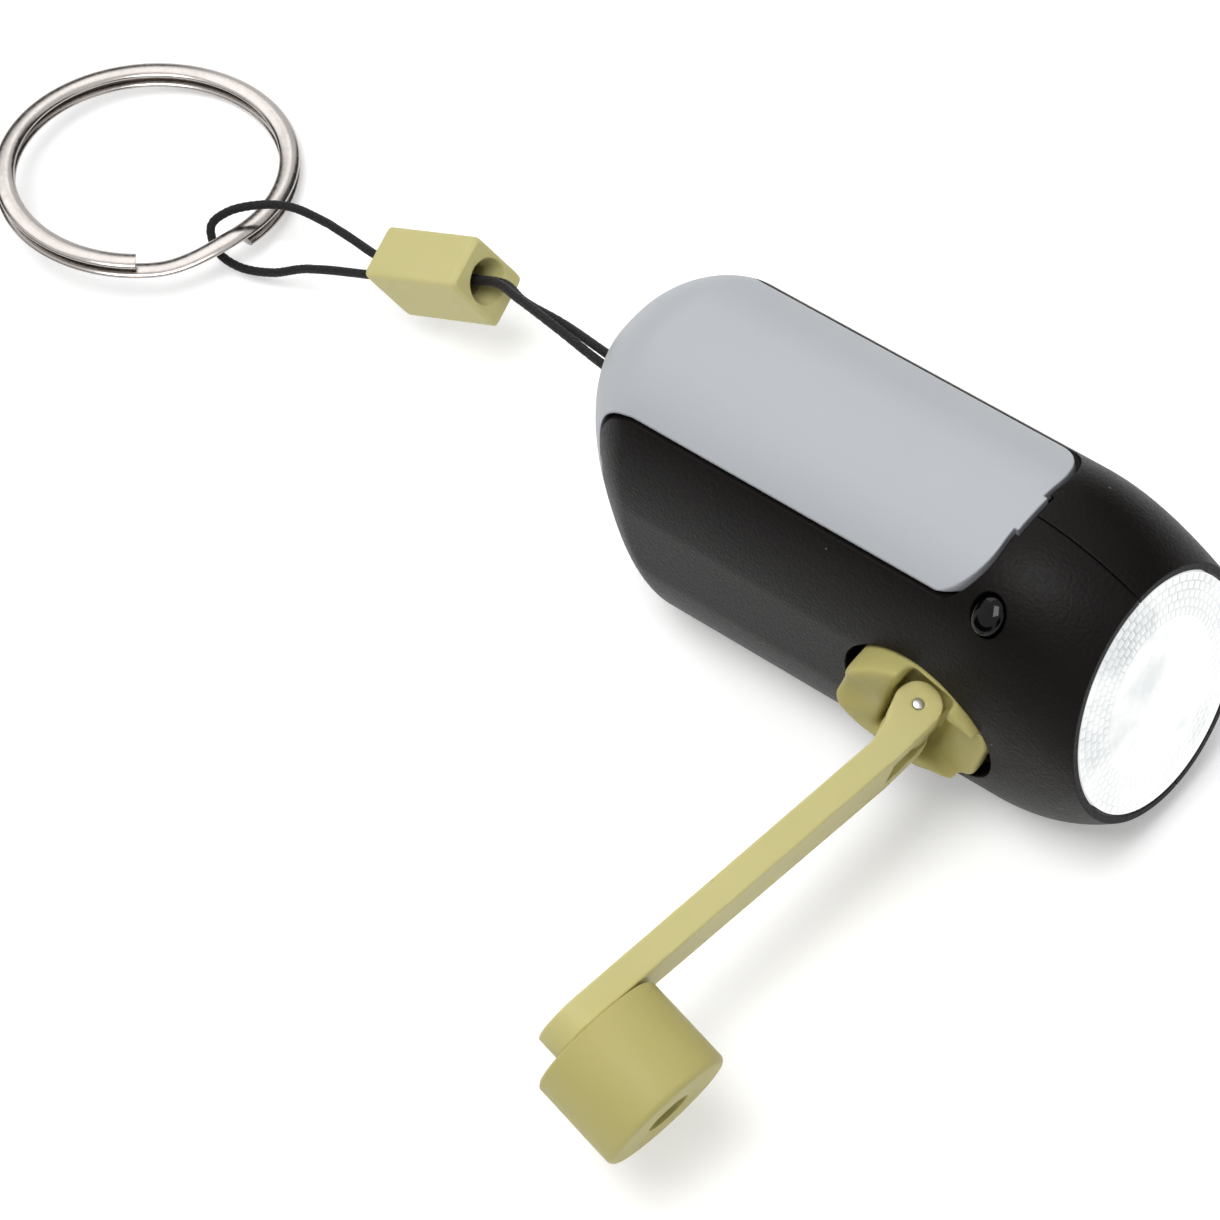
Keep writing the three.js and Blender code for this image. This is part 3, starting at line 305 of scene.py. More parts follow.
# Camera
def make_camera():
    data = bpy.data.cameras.new("camera")
    data.lens = CAMERA_LENS
    data.sensor_width = CAMERA_SENSOR
    data.clip_end = CAMERA_REACH
    camera = bpy.data.objects.new("camera", data)
    bpy.context.collection.objects.link(camera)
    right = CAMERA_RIGHT.normalized()
    up = (CAMERA_UP - right * CAMERA_UP.dot(right)).normalized()
    back = right.cross(up)
    turned_to = Matrix((right, up, back)).transposed().to_4x4()
    camera.matrix_world = Matrix.Translation(CAMERA_PLACE) @ turned_to
    bpy.context.scene.camera = camera


# Mesh building
def new_object(name, points, faces):
    mesh = bpy.data.meshes.new(name)
    mesh.from_pydata([tuple(point) for point in points], [], faces)
    mesh.update()
    made = bpy.data.objects.new(name, mesh)
    bpy.context.collection.objects.link(made)
    tidy = bmesh.new()
    tidy.from_mesh(mesh)
    bmesh.ops.recalc_face_normals(tidy, faces=tidy.faces)
    tidy.to_mesh(mesh)
    tidy.free()
    return made


def ring_faces(rows, count, closed=False):
    faces = []
    last = rows if closed else rows - 1
    for row in range(last):
        here = row * count
        there = ((row + 1) % rows) * count
        for side in range(count):
            after = (side + 1) % count
            faces.append((here + side, here + after, there + after, there + side))
    return faces


def skin(name, rings):
    """A closed skin over a row of rings with flat ends."""
    count = len(rings[0])
    points = [point for ring in rings for point in ring]
    faces = ring_faces(len(rings), count)
    faces.append(tuple(range(count)))
    faces.append(tuple(range((len(rings) - 1) * count, len(rings) * count)))
    return new_object(name, points, faces)


def oval(x, half_width, half_height, exponent, sides):
    angles = np.linspace(0, 2 * math.pi, sides, endpoint=False)
    across, up = np.cos(angles), np.sin(angles)
    y = half_width * np.sign(across) * np.abs(across) ** (2 / exponent)
    z = half_height * np.sign(up) * np.abs(up) ** (2 / exponent)
    return np.stack([np.full(sides, float(x)), y, z], axis=1)


def prism(name, outline, start, end, axis):
    """An outline of two coordinates, carried along the third axis."""
    places = {"X": (1, 2, 0), "Y": (0, 2, 1), "Z": (0, 1, 2)}[axis]
    points = []
    for along in (start, end):
        for u, v in outline:
            point = [0, 0, 0]
            point[places[0]], point[places[1]], point[places[2]] = u, v, along
            points.append(point)
    count = len(outline)
    faces = [tuple(range(count)), tuple(range(count, 2 * count))]
    for side in range(count):
        after = (side + 1) % count
        faces.append((side, after, count + after, count + side))
    return new_object(name, points, faces)


def box(low, high):
    outline = [(low[0], low[1]), (high[0], low[1]), (high[0], high[1]), (low[0], high[1])]
    return prism("box", outline, low[2], high[2], "Z")


def lathe(name, profile, sides, closed=False):
    """A body turned about Z. An open profile starts and ends on the axis; a closed one goes round a hole."""
    angles = np.linspace(0, 2 * math.pi, sides, endpoint=False)
    inner = profile if closed else profile[1:-1]
    points = [(r * math.cos(a), r * math.sin(a), h) for r, h in inner for a in angles]
    faces = ring_faces(len(inner), sides, closed)
    if not closed:
        first, last = len(points), len(points) + 1
        points += [(0, 0, profile[0][1]), (0, 0, profile[-1][1])]
        top = (len(inner) - 1) * sides
        for side in range(sides):
            after = (side + 1) % sides
            faces.append((first, after, side))
            faces.append((last, top + side, top + after))
    return new_object(name, points, faces)


def bar(radius, start, end, axis, place=(0, 0), sides=SMALL_SIDES):
    """A round bar along an axis, from start to end, at a place given by the other two coordinates."""
    angles = np.linspace(0, 2 * math.pi, sides, endpoint=False)
    outline = [(place[0] + radius * math.cos(a), place[1] + radius * math.sin(a)) for a in angles]
    return prism("bar", outline, start, end, axis)


def settle(made):
    bpy.context.view_layer.update()
    graph = bpy.context.evaluated_depsgraph_get()
    mesh = bpy.data.meshes.new_from_object(made.evaluated_get(graph))
    made.modifiers.clear()
    made.data = mesh
    return made


def combine(made, tools, operation):
    for tool in tools:
        modifier = made.modifiers.new("combine", "BOOLEAN")
        modifier.operation = operation
        modifier.solver = "MANIFOLD"
        modifier.object = tool
    settle(made)
    for tool in tools:
        bpy.data.objects.remove(tool, do_unlink=True)
    return made


def cut(made, *tools):
    return combine(made, tools, "DIFFERENCE")


def join(made, *tools):
    return combine(made, tools, "UNION")


def keep(made, *tools):
    return combine(made, tools, "INTERSECT")


def soften(made, voxel, rounds):
    """Remeshes a moulded piece finely and lets its edges and inside corners round off."""
    remesh = made.modifiers.new("remesh", "REMESH")
    remesh.mode = "VOXEL"
    remesh.voxel_size = voxel
    smooth = made.modifiers.new("smooth", "SMOOTH")
    smooth.factor = 0.5
    smooth.iterations = rounds
    return settle(made)


def place(made, name, matrix, body, nodes, slot, material, crease=None):
    """Puts a piece modelled in millimetres where it belongs, names it, gives it its material and hides the
    solids it stands for.
    """
    made.name = name
    made.data.name = name
    made.data.transform(Matrix.Scale(MM, 4) @ matrix)
    made.data.materials.clear()
    made.data.materials.append(material)
    made.data.shade_smooth()
    if crease:
        made.data.set_sharp_from_angle(angle=crease * DEGREE)
    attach(made, body)
    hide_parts(*nodes)
    return made


# Node trees
class Tree:
    """A short way to write a material's nodes."""

    def __init__(self, name):
        self.material = bpy.data.materials.new(name)
        self.material.use_nodes = True
        self.nodes = self.material.node_tree.nodes
        self.links = self.material.node_tree.links
        self.shader = self.nodes["Principled BSDF"]
        self.place = self.add("ShaderNodeTexCoord").outputs["Object"]

    def add(self, kind, **settings):
        node = self.nodes.new(kind)
        for name, value in settings.items():
            setattr(node, name, value)
        return node

    def put(self, node, socket, value):
        """Links or sets an input, which is given by its name or its number."""
        if isinstance(value, bpy.types.NodeSocket):
            self.links.new(value, node.inputs[socket])
        else:
            node.inputs[socket].default_value = value

    def look(self, name, value):
        self.put(self.shader, name, value)

    def noise(self, scale, detail, roughness=0.55, stretch=None):
        node = self.add("ShaderNodeTexNoise")
        source = self.place
        if stretch:
            mapping = self.add("ShaderNodeMapping")
            self.put(mapping, "Vector", source)
            self.put(mapping, "Scale", stretch)
            source = mapping.outputs["Vector"]
        self.put(node, "Vector", source)
        self.put(node, "Scale", scale)
        self.put(node, "Detail", detail)
        self.put(node, "Roughness", roughness)
        return node.outputs["Fac"]

    def cells(self, scale):
        node = self.add("ShaderNodeTexVoronoi")
        self.put(node, "Vector", self.place)
        self.put(node, "Scale", scale)
        return node.outputs["Distance"]

    def ramp(self, value, stops):
        node = self.add("ShaderNodeMapRange")
        self.put(node, "Value", value)
        for name, number in zip(("From Min", "From Max", "To Min", "To Max"), stops):
            self.put(node, name, number)
        return node.outputs["Result"]

    def math(self, operation, first, second):
        node = self.add("ShaderNodeMath", operation=operation)
        self.put(node, 0, first)
        self.put(node, 1, second)
        return node.outputs["Value"]

    def blend(self, share, first, second):
        node = self.add("ShaderNodeMix", data_type="RGBA")
        self.put(node, 0, share)
        self.put(node, 6, first)
        self.put(node, 7, second)
        return node.outputs[2]

    def bump(self, height, distance, strength, before=None):
        node = self.add("ShaderNodeBump")
        self.put(node, "Height", height)
        self.put(node, "Distance", distance)
        self.put(node, "Strength", strength)
        if before:
            self.put(node, "Normal", before)
        return node.outputs["Normal"]

    def rounded(self, radius):
        node = self.add("ShaderNodeBevel", samples=6)
        self.put(node, "Radius", radius)
        return node.outputs["Normal"]


def shade(colour):
    return (*colour, 1)


def case_plastic():
    tree = Tree("case_plastic")
    grain = tree.noise(3400, 5, 0.6)
    pores = tree.cells(2600)
    cloud = tree.noise(120, 3)
    specks = tree.ramp(tree.cells(260), (0.035, 0.02, 0, 1))
    base = tree.blend(cloud, shade((0.0042, 0.0034, 0.0031)), shade((0.0074, 0.0062, 0.0057)))
    tree.look("Base Color", tree.blend(specks, base, shade((0.12, 0.11, 0.10))))
    tree.look("Roughness", tree.ramp(grain, (0.3, 0.7, 0.36, 0.48)))
    height = tree.math("ADD", grain, tree.math("MULTIPLY", pores, 0.6))
    tree.look("Normal", tree.bump(height, 0.00009, 0.35, tree.rounded(0.00022)))
    tree.look("Specular IOR Level", 0.095)
    return tree.material


def panel_plastic():
    tree = Tree("panel_plastic")
    cloud = tree.noise(70, 3)
    grain = tree.noise(2600, 4, 0.6)
    tree.look("Base Color", tree.blend(cloud, shade((0.415, 0.436, 0.462)), shade((0.448, 0.468, 0.492))))
    tree.look("Roughness", tree.ramp(grain, (0.3, 0.7, 0.40, 0.50)))
    tree.look("Specular IOR Level", 0.35)
    tree.look("Normal", tree.bump(grain, 0.00004, 0.2, tree.rounded(0.0003)))
    return tree.material


def crank_plastic(name, low, high):
    tree = Tree(name)
    cloud = tree.noise(160, 4)
    grain = tree.noise(2400, 5, 0.6)
    flow = tree.noise(420, 2, stretch=(1, 0.25, 1))
    specks = tree.ramp(tree.cells(330), (0.03, 0.018, 0, 0.75))
    base = tree.blend(cloud, shade(low), shade(high))
    tree.look("Base Color", tree.blend(specks, base, shade((0.30, 0.25, 0.10))))
    tree.look("Roughness", tree.ramp(grain, (0.3, 0.7, 0.42, 0.55)))
    height = tree.math("ADD", grain, tree.math("MULTIPLY", flow, 1.5))
    tree.look("Normal", tree.bump(height, 0.00005, 0.3))
    tree.look("Specular IOR Level", 0.2)
    tree.look("Subsurface Weight", 0.2)
    tree.look("Subsurface Radius", (1, 0.9, 0.35))
    tree.look("Subsurface Scale", 0.0007)
    return tree.material


def nickel():
    tree = Tree("nickel")
    cloud = tree.noise(300, 4)
    streaks = tree.noise(1500, 4, 0.6, stretch=(1, 1, 4))
    tree.look("Metallic", 1)
    tree.look("Base Color", tree.blend(cloud, shade((0.37, 0.342, 0.325)), shade((0.50, 0.468, 0.445))))
    tree.look("Roughness", tree.ramp(streaks, (0.3, 0.7, 0.16, 0.27)))
    tree.look("Normal", tree.bump(streaks, 0.00003, 0.2))
    return tree.material


def steel(name, light, rough):
    tree = Tree(name)
    cloud = tree.noise(900, 4)
    low = shade((light, light, light))
    high = shade((light + 0.12, light + 0.12, light + 0.13))
    tree.look("Metallic", 1)
    tree.look("Base Color", tree.blend(cloud, low, high))
    tree.look("Roughness", tree.ramp(cloud, (0.3, 0.7, rough - 0.06, rough + 0.08)))
    tree.look("Normal", tree.bump(cloud, 0.00006, 0.4))
    return tree.material


def button_gloss():
    tree = Tree("button_gloss")
    cloud = tree.noise(700, 3)
    tree.look("Base Color", tree.blend(cloud, shade((0.0012, 0.001, 0.001)), shade((0.0024, 0.002, 0.002))))
    tree.look("Roughness", tree.ramp(cloud, (0.3, 0.7, 0.04, 0.09)))
    tree.look("Normal", tree.bump(cloud, 0.00012, 0.25))
    tree.look("Specular IOR Level", 0.2)
    return tree.material


def cord_fabric():
    tree = Tree("cord_fabric")
    fibre = tree.noise(6000, 4, 0.6)
    weave = tree.cells(3200)
    tree.look("Base Color", tree.blend(fibre, shade((0.003, 0.003, 0.003)), shade((0.013, 0.012, 0.013))))
    tree.look("Roughness", tree.ramp(weave, (0, 0.6, 0.55, 0.8)))
    tree.look("Normal", tree.bump(tree.math("ADD", fibre, weave), 0.00008, 0.6))
    tree.look("Specular IOR Level", 0.3)
    tree.look("Sheen Weight", 0.08)
    tree.look("Sheen Roughness", 0.4)
    return tree.material


# The lens glows by itself: its white look is painted light, and its grey patches and prism valleys are
# painted shade
def lens_clear():
    tree = Tree("lens_clear")
    glow = tree.add("ShaderNodeAttribute", attribute_name="glow").outputs["Fac"]
    cloud = tree.ramp(tree.noise(190, 3, 0.5), (0.48, 0.66, 0, 0.3))
    burnt = tree.ramp(tree.noise(150, 2, 0.5, stretch=(1, 1, 0.6)), (0.44, 0.64, 0.08, 1))
    shadow = tree.math("MULTIPLY", tree.math("SUBTRACT", 1, glow), burnt)
    light = tree.math("SUBTRACT", tree.math("SUBTRACT", 1, shadow), cloud)
    colour = tree.blend(light, shade((0.22, 0.25, 0.26)), shade((0.92, 0.93, 0.93)))
    tree.look("Base Color", shade((0.10, 0.11, 0.11)))
    tree.look("Roughness", 0.08)
    tree.look("Emission Color", colour)
    tree.look("Emission Strength", 0.9)
    tree.look("Normal", tree.bump(tree.noise(900, 2), 0.00005, 0.2))
    tree.look("Coat Weight", 0.4)
    tree.look("Coat Roughness", 0.04)
    return tree.material


def plain(name, low, high, rough, metal=0):
    tree = Tree(name)
    cloud = tree.noise(800, 4)
    tree.look("Metallic", metal)
    tree.look("Base Color", tree.blend(cloud, shade(low), shade(high)))
    tree.look("Roughness", tree.ramp(cloud, (0.3, 0.7, rough - 0.05, rough + 0.08)))
    tree.look("Normal", tree.bump(cloud, 0.00004, 0.3))
    return tree.material


# Cord: the same route as the solid, drawn as a tight three-ply twist
def in_bead(x, y, z):
    return bead_local @ Vector((x, y, z))


def strand_out(side):
    """One of the two strands, from inside the case to the far end of the bead."""
    points = [Vector((CORD_START, side * CORD_STRAND_HALF, CORD_HOLE_Z))]
    for x, y, z, degrees in CORD_LEAVING:
        half, angle = side * CORD_STRAND_HALF, degrees * DEGREE
        points.append(Vector((x, y + half * math.cos(angle), z + half * math.sin(angle))))
    for x, half, degrees in CORD_IN_BEAD:
        angle = degrees * DEGREE
        points.append(in_bead(x, side * half * math.cos(angle), side * half * math.sin(angle)))
    return points


def cord_points():
    loop = [
        (-101.5, 4.4, -8.9), (-106.3, 4.3, -9.6), (-109.4, 3.1, -10.1),
        (-111.8, 1.2, -10.7), (-113.1, -0.2, -12.2), (-111.9, -1.2, -13.9),
        (-109.3, -1.3, -14.4), (-105.5, -0.5, -13.7), (-101.5, 0.7, -11.8),
    ]
    return strand_out(1) + [Vector(point) for point in loop] + strand_out(-1)[::-1]


def between(low, high, start, end, at):
    """What lies at a place on the line that has low at start and high at end."""
    return low * ((end - at) / (end - start)) + high * ((at - start) / (end - start))


def centripetal(points, per_span):
    """A smooth curve through the points, as the solid's own route is drawn."""
    ends = [2 * points[0] - points[1], *points, 2 * points[-1] - points[-2]]
    line = []
    for number in range(1, len(ends) - 2):
        p = ends[number - 1 : number + 3]
        t = [0]
        for first, second in zip(p, p[1:]):
            t.append(t[-1] + (second - first).length ** 0.5)
        for part in range(per_span):
            u = t[1] + (t[2] - t[1]) * part / per_span
            a = [between(p[i], p[i + 1], t[i], t[i + 1], u) for i in range(3)]
            b = [between(a[i], a[i + 1], t[i], t[i + 2], u) for i in range(2)]
            line.append(between(b[0], b[1], t[1], t[2], u))
    line.append(points[-1])
    return line


def along(line):
    """Evenly carried directions across a line, for a tube that doesn't twist by itself."""
    tangents = []
    for number in range(len(line)):
        before = line[max(0, number - 1)]
        after = line[min(len(line) - 1, number + 1)]
        tangents.append((after - before).normalized())
    side = tangents[0].orthogonal().normalized()
    sides = []
    for tangent in tangents:
        side = (side - tangent * side.dot(tangent)).normalized()
        sides.append(side)
    return tangents, sides


def make_cord():
    line = [torch_frame @ point for point in centripetal(cord_points(), CORD_STEPS)]
    tangents, sides = along(line)
    points, walked = [], 0
    for number, (centre, tangent, side) in enumerate(zip(line, tangents, sides)):
        walked += (centre - line[max(0, number - 1)]).length
        other = tangent.cross(side)
        for step in range(CORD_SIDES):
            angle = 2 * math.pi * step / CORD_SIDES
            ply = abs(math.sin(PLIES / 2 * (angle - 2 * math.pi * walked / PLY_TWIST_LENGTH)))
            radius = CORD_DIAMETER / 2 * (1 - PLY_GROOVE * (1 - ply) ** 2)
            points.append(centre + (side * math.cos(angle) + other * math.sin(angle)) * radius)
    rings = [points[start : start + CORD_SIDES] for start in range(0, len(points), CORD_SIDES)]
    made = skin("cord", rings)
    place(made, "cord", Matrix(), "case", ["cord_loop"], "cord", cord_fabric())
    return made, [tuple(point * MM) for point in line]


# Case
def soft_least(value, limit, softness):
    """The lesser of a value and a limit, with the corner between them rounded off."""
    return value - softness * np.logaddexp(0, (value - limit) / softness)


def case_section(depth, inset):
    """Half width, half height and exponent of the case's oval, at a depth behind the lens rim."""
    nose = min(1, depth / NOSE_LENGTH)
    bulge = 1 - (1 - nose) ** 2
    cap_start = CASE_LENGTH - REAR_CAP_LENGTH
    cap = min(1, max(0, (depth - cap_start) / (REAR_CAP_LENGTH - inset)))
    width_share = (1 - cap**REAR_WIDTH_EXPONENT) ** (1 / REAR_WIDTH_EXPONENT)
    height_share = (1 - cap**REAR_HEIGHT_EXPONENT) ** (1 / REAR_HEIGHT_EXPONENT)
    full_width = RIM_HALF_WIDTH + (CASE_HALF_WIDTH - RIM_HALF_WIDTH) * bulge - inset
    full_height = RIM_HALF_HEIGHT + (CASE_HALF_HEIGHT - RIM_HALF_HEIGHT) * bulge - inset
    tip = REAR_TIP_HALF_HEIGHT - inset / 2
    half_width = full_width * width_share
    half_height = tip + (full_height - tip) * height_share
    return half_width, half_height, RIM_EXPONENT + (CASE_EXPONENT - RIM_EXPONENT) * bulge


def case_body(inset, front=0):
    cap_start = CASE_LENGTH - REAR_CAP_LENGTH
    body_length = cap_start - NOSE_LENGTH
    stations = [NOSE_LENGTH * step / NOSE_STATIONS for step in range(NOSE_STATIONS)]
    stations += [NOSE_LENGTH + body_length * step / BODY_STATIONS for step in range(BODY_STATIONS)]
    for step in range(CAP_STATIONS + 1):
        share = min(math.sin(QUARTER * step / CAP_STATIONS), LAST_CAP_SHARE)
        stations.append(cap_start + (REAR_CAP_LENGTH - inset) * share)
    rings = []
    for number, depth in enumerate(stations):
        half_width, half_height, exponent = case_section(depth, inset)
        ring = oval(front if number == 0 else -depth, half_width, half_height, exponent, SECTION_SIDES)
        side = SIDE_FLAT - inset
        ring[:, 1] = np.sign(ring[:, 1]) * soft_least(np.abs(ring[:, 1]), side, FLAT_SOFTNESS)
        ring[:, 2] = -soft_least(-ring[:, 2], BELLY_DEPTH - inset, FLAT_SOFTNESS)
        rings.append(ring)
    return skin("case_body", rings)


def arc(centre, radius, start, end, steps=24):
    angles = np.linspace(start, end, steps)
    return [(centre[0] + radius * math.cos(a), centre[1] + radius * math.sin(a)) for a in angles]


def panel_room(grown):
    """The room of the top panel, seen from the side and from above, grown by a gap."""
    edge = PANEL_EDGE_HEIGHT - grown
    radius = PANEL_DROP_RADIUS - grown
    tall = CASE_HALF_HEIGHT + OVERRUN
    far = -CASE_LENGTH - OVERRUN
    front = PANEL_FRONT + CLIP_REACH + grown
    side = [(front, tall), (front, edge)]
    side += arc((PANEL_DROP_START, edge - radius), radius, QUARTER, math.pi, PANEL_DROP_STEPS)
    side += [(PANEL_DROP_START - radius, TONGUE_END - grown), (far, TONGUE_END - grown), (far, tall)]
    reach = PANEL_HALF_WIDTH + grown
    lip = PANEL_FRONT + grown
    corner = PANEL_CORNER_RADIUS
    plan = [(far, -reach - PANEL_FLARE)]
    plan += arc((lip - corner, corner - reach), corner, -QUARTER, 0)
    plan += [
        (lip, -CLIP_HALF_WIDTH - grown), (lip + CLIP_REACH, -CLIP_HALF_WIDTH - grown),
        (lip + CLIP_REACH, CLIP_HALF_WIDTH + grown), (lip, CLIP_HALF_WIDTH + grown),
    ]
    plan += arc((lip - corner, reach - corner), corner, 0, QUARTER)
    plan += [(far, reach + PANEL_FLARE)]
    return keep(prism("room", side, -tall, tall, "Y"), prism("plan", plan, -tall, tall, "Z"))


def cord_hole():
    return box(
        (-CASE_LENGTH - OVERRUN, -CORD_HOLE_HALF_WIDTH, CORD_HOLE_Z - CORD_HOLE_HALF_HEIGHT),
        (CORD_BAR_X - CORD_BAR_SEAT, CORD_HOLE_HALF_WIDTH, CORD_HOLE_Z + CORD_HOLE_HALF_HEIGHT),
    )


def button_hole():
    made = oval(0, BUTTON_HALF_WIDTH + BUTTON_GAP, BUTTON_HALF_LENGTH + BUTTON_GAP, 2, ROUND_SIDES)
    outline = [(y, z) for _, y, z in made]
    hole = prism("hole", outline, -BUTTON_DEPTH - OVERRUN, BUTTON_PROUD + OVERRUN, "Z")
    hole.data.transform(Matrix.Translation(BUTTON_PLACE) @ turn(BUTTON_TILT, "X"))
    return hole


def case_shell():
    cavity = keep(
        case_body(WALL, OVERRUN),
        box((-CASE_LENGTH, -CASE_HALF_WIDTH, -CASE_HALF_HEIGHT), (OVERRUN, CASE_HALF_WIDTH, CAVITY_TOP)),
    )
    recess = cut(panel_room(PANEL_GAP), case_body(PANEL_THICKNESS + PANEL_GAP))
    width, height = LENS_HALF_WIDTH + LENS_GAP, LENS_HALF_HEIGHT + LENS_GAP
    seat_ends = (OVERRUN, -LENS_THICKNESS - GAP)
    seat = skin("seat", [oval(x, width, height, 2, ROUND_SIDES * 2) for x in seat_ends])
    return cut(case_body(0), cavity, recess, seat, button_hole(), cord_hole())


def copy_of(made):
    twin = made.copy()
    twin.data = made.data.copy()
    bpy.context.collection.objects.link(twin)
    return twin


def belly_tab(grown):
    return box(
        (BELLY_MIDDLE - TAB_HALF_LENGTH - grown, -SEAM, -BELLY_DEPTH - OVERRUN),
        (BELLY_MIDDLE + TAB_HALF_LENGTH + grown, TAB_REACH + grown, WALL - BELLY_DEPTH + GAP),
    )


def screw_bars(radius, start, end):
    """A bar on the line of each case screw."""
    return [bar(radius, start, end, "Y", (x, z)) for x, z, _ in CASE_SCREWS]


def screw_bosses(start, end):
    return [keep(boss, case_body(WALL / 2)) for boss in screw_bars(SCREW_BOSS, start, end)]


def cord_bar_boss(start, end):
    made = bar(CORD_BAR_SEAT, start, end, "Y", (CORD_BAR_X, CORD_HOLE_Z))
    return keep(made, case_body(PANEL_THICKNESS + PANEL_GAP))


def make_housing(material):
    out = CASE_HALF_WIDTH + OVERRUN
    low, high = -CASE_HALF_HEIGHT - OVERRUN, CASE_HALF_HEIGHT + OVERRUN
    shell = case_shell()
    far = copy_of(shell)
    near_half = join(box((-CASE_LENGTH - OVERRUN, -out, low), (OVERRUN, -SEAM / 2, high)), belly_tab(0))
    far_half = cut(box((-CASE_LENGTH - OVERRUN, SEAM / 2, low), (OVERRUN, out, high)), belly_tab(SEAM))
    near = keep(shell, near_half)
    far = keep(far, far_half)
    hub = (HUB_X, HUB_Z)
    well = HUB_RADIUS + WELL_GAP
    cup = bar(well + CUP_WALL, -SIDE_FLAT + WALL / 2, -WELL_FLOOR + CUP_WALL, "Y", hub, ROUND_SIDES)
    boss_end = CORD_BAR_HALF_LENGTH + WALL
    near_boss = cord_bar_boss(-boss_end, -CORD_HOLE_HALF_WIDTH - GAP)
    far_boss = cord_bar_boss(CORD_HOLE_HALF_WIDTH + GAP, boss_end)
    join(near, cup, near_boss, *screw_bosses(-SIDE_FLAT, -SEAM / 2))
    join(far, far_boss, *screw_bosses(SEAM / 2, SIDE_FLAT))
    bar_place = (CORD_BAR_X, CORD_HOLE_Z)
    bar_reach = CORD_BAR_HALF_LENGTH + GAP
    cut(
        near,
        bar(well, -out, -WELL_FLOOR, "Y", hub, ROUND_SIDES),
        bar(STEM_RADIUS + RUNNING_GAP, -out, -SEAM, "Y", hub),
        bar(CORD_BAR_RADIUS + THREAD_GAP, -bar_reach, bar_reach, "Y", bar_place),
        *screw_bars(CASE_SCREW_RADIUS + THREAD_GAP, -CASE_SCREW_REACH - GAP, OVERRUN),
    )
    cut(
        far,
        bar(CORD_BAR_RADIUS + THREAD_GAP, -bar_reach, bar_reach, "Y", bar_place),
        *screw_bars(CASE_SCREW_RADIUS + GAP, -OVERRUN, out),
        *[bar(CASE_SCREW_HEAD + GAP, seat, out, "Y", (x, z), ROUND_SIDES) for x, z, seat in CASE_SCREWS],
    )
    place(near, "case_near", torch_frame, "case", ["housing_near"], "case_black", material, 30)
    place(far, "case_far", torch_frame, "case", ["housing_far"], "case_black", material, 30)


def make_panel(material):
    made = keep(panel_room(0), case_body(0))
    cut(made, case_body(PANEL_THICKNESS), cord_hole())
    place(made, "panel", torch_frame, "case", ["top_panel"], "panel_grey", material, 30)


# Lens: a shallow dome with rows of small prisms towards its rim
def make_lens(material):
    rings, glow = [], []
    for row in range(1, LENS_ROWS + 1):
        share = row / LENS_ROWS
        ring = oval(0, LENS_HALF_WIDTH * share, LENS_HALF_HEIGHT * share, 2, LENS_SIDES)
        band = (share - PRISM_START) / (1 - PRISM_START)
        line = band * PRISM_ROWS
        for side in range(LENS_SIDES):
            around = side / LENS_SIDES * PRISM_COUNT + 0.5 * (int(max(0, line)) % 2)
            across = abs(2 * (around % 1) - 1)
            deep = abs(2 * (line % 1) - 1)
            valley = max(across, deep) if 0 < band < 1 else 0
            ring[side, 0] = LENS_DOME * (1 - share**2) - PRISM_HEIGHT * valley**3 * (share < PRISM_END)
            # Painted shade: the glow drops in the valleys between the prisms
            glow.append(1 - HOLLOW_SHADE * max(0, valley - HOLLOW_START) / HOLLOW_SPAN)
        rings.append(ring)
    rings.append(oval(-LENS_THICKNESS, LENS_HALF_WIDTH, LENS_HALF_HEIGHT, 2, LENS_SIDES))
    # Painted glow of the back of the lens
    glow += [LENS_BACK_GLOW] * LENS_SIDES
    made = skin("lens", rings)
    attribute = made.data.attributes.new("glow", "FLOAT", "POINT")
    attribute.data.foreach_set("value", np.array(glow, np.float32))
    place(made, "lens_front", torch_frame, "case", ["lens"], "lens_clear", material, 50)


def make_button(material):
    profile = [(0, -BUTTON_DEPTH), (1, -BUTTON_DEPTH)]
    for step in range(BUTTON_STEPS):
        angle = QUARTER * step / BUTTON_STEPS
        height = BUTTON_SKIRT + (1 - BUTTON_SKIRT) * math.sin(angle)
        profile.append((math.cos(angle) ** BUTTON_CROWN, BUTTON_PROUD * height))
    profile.append((0, BUTTON_PROUD))
    made = lathe("button", profile, ROUND_SIDES)
    made.data.transform(Matrix.Diagonal((BUTTON_HALF_WIDTH, BUTTON_HALF_LENGTH, 1, 1)))
    place(made, "button_cap", button_frame, "button", ["push_button"], "button_gloss", material, 60)


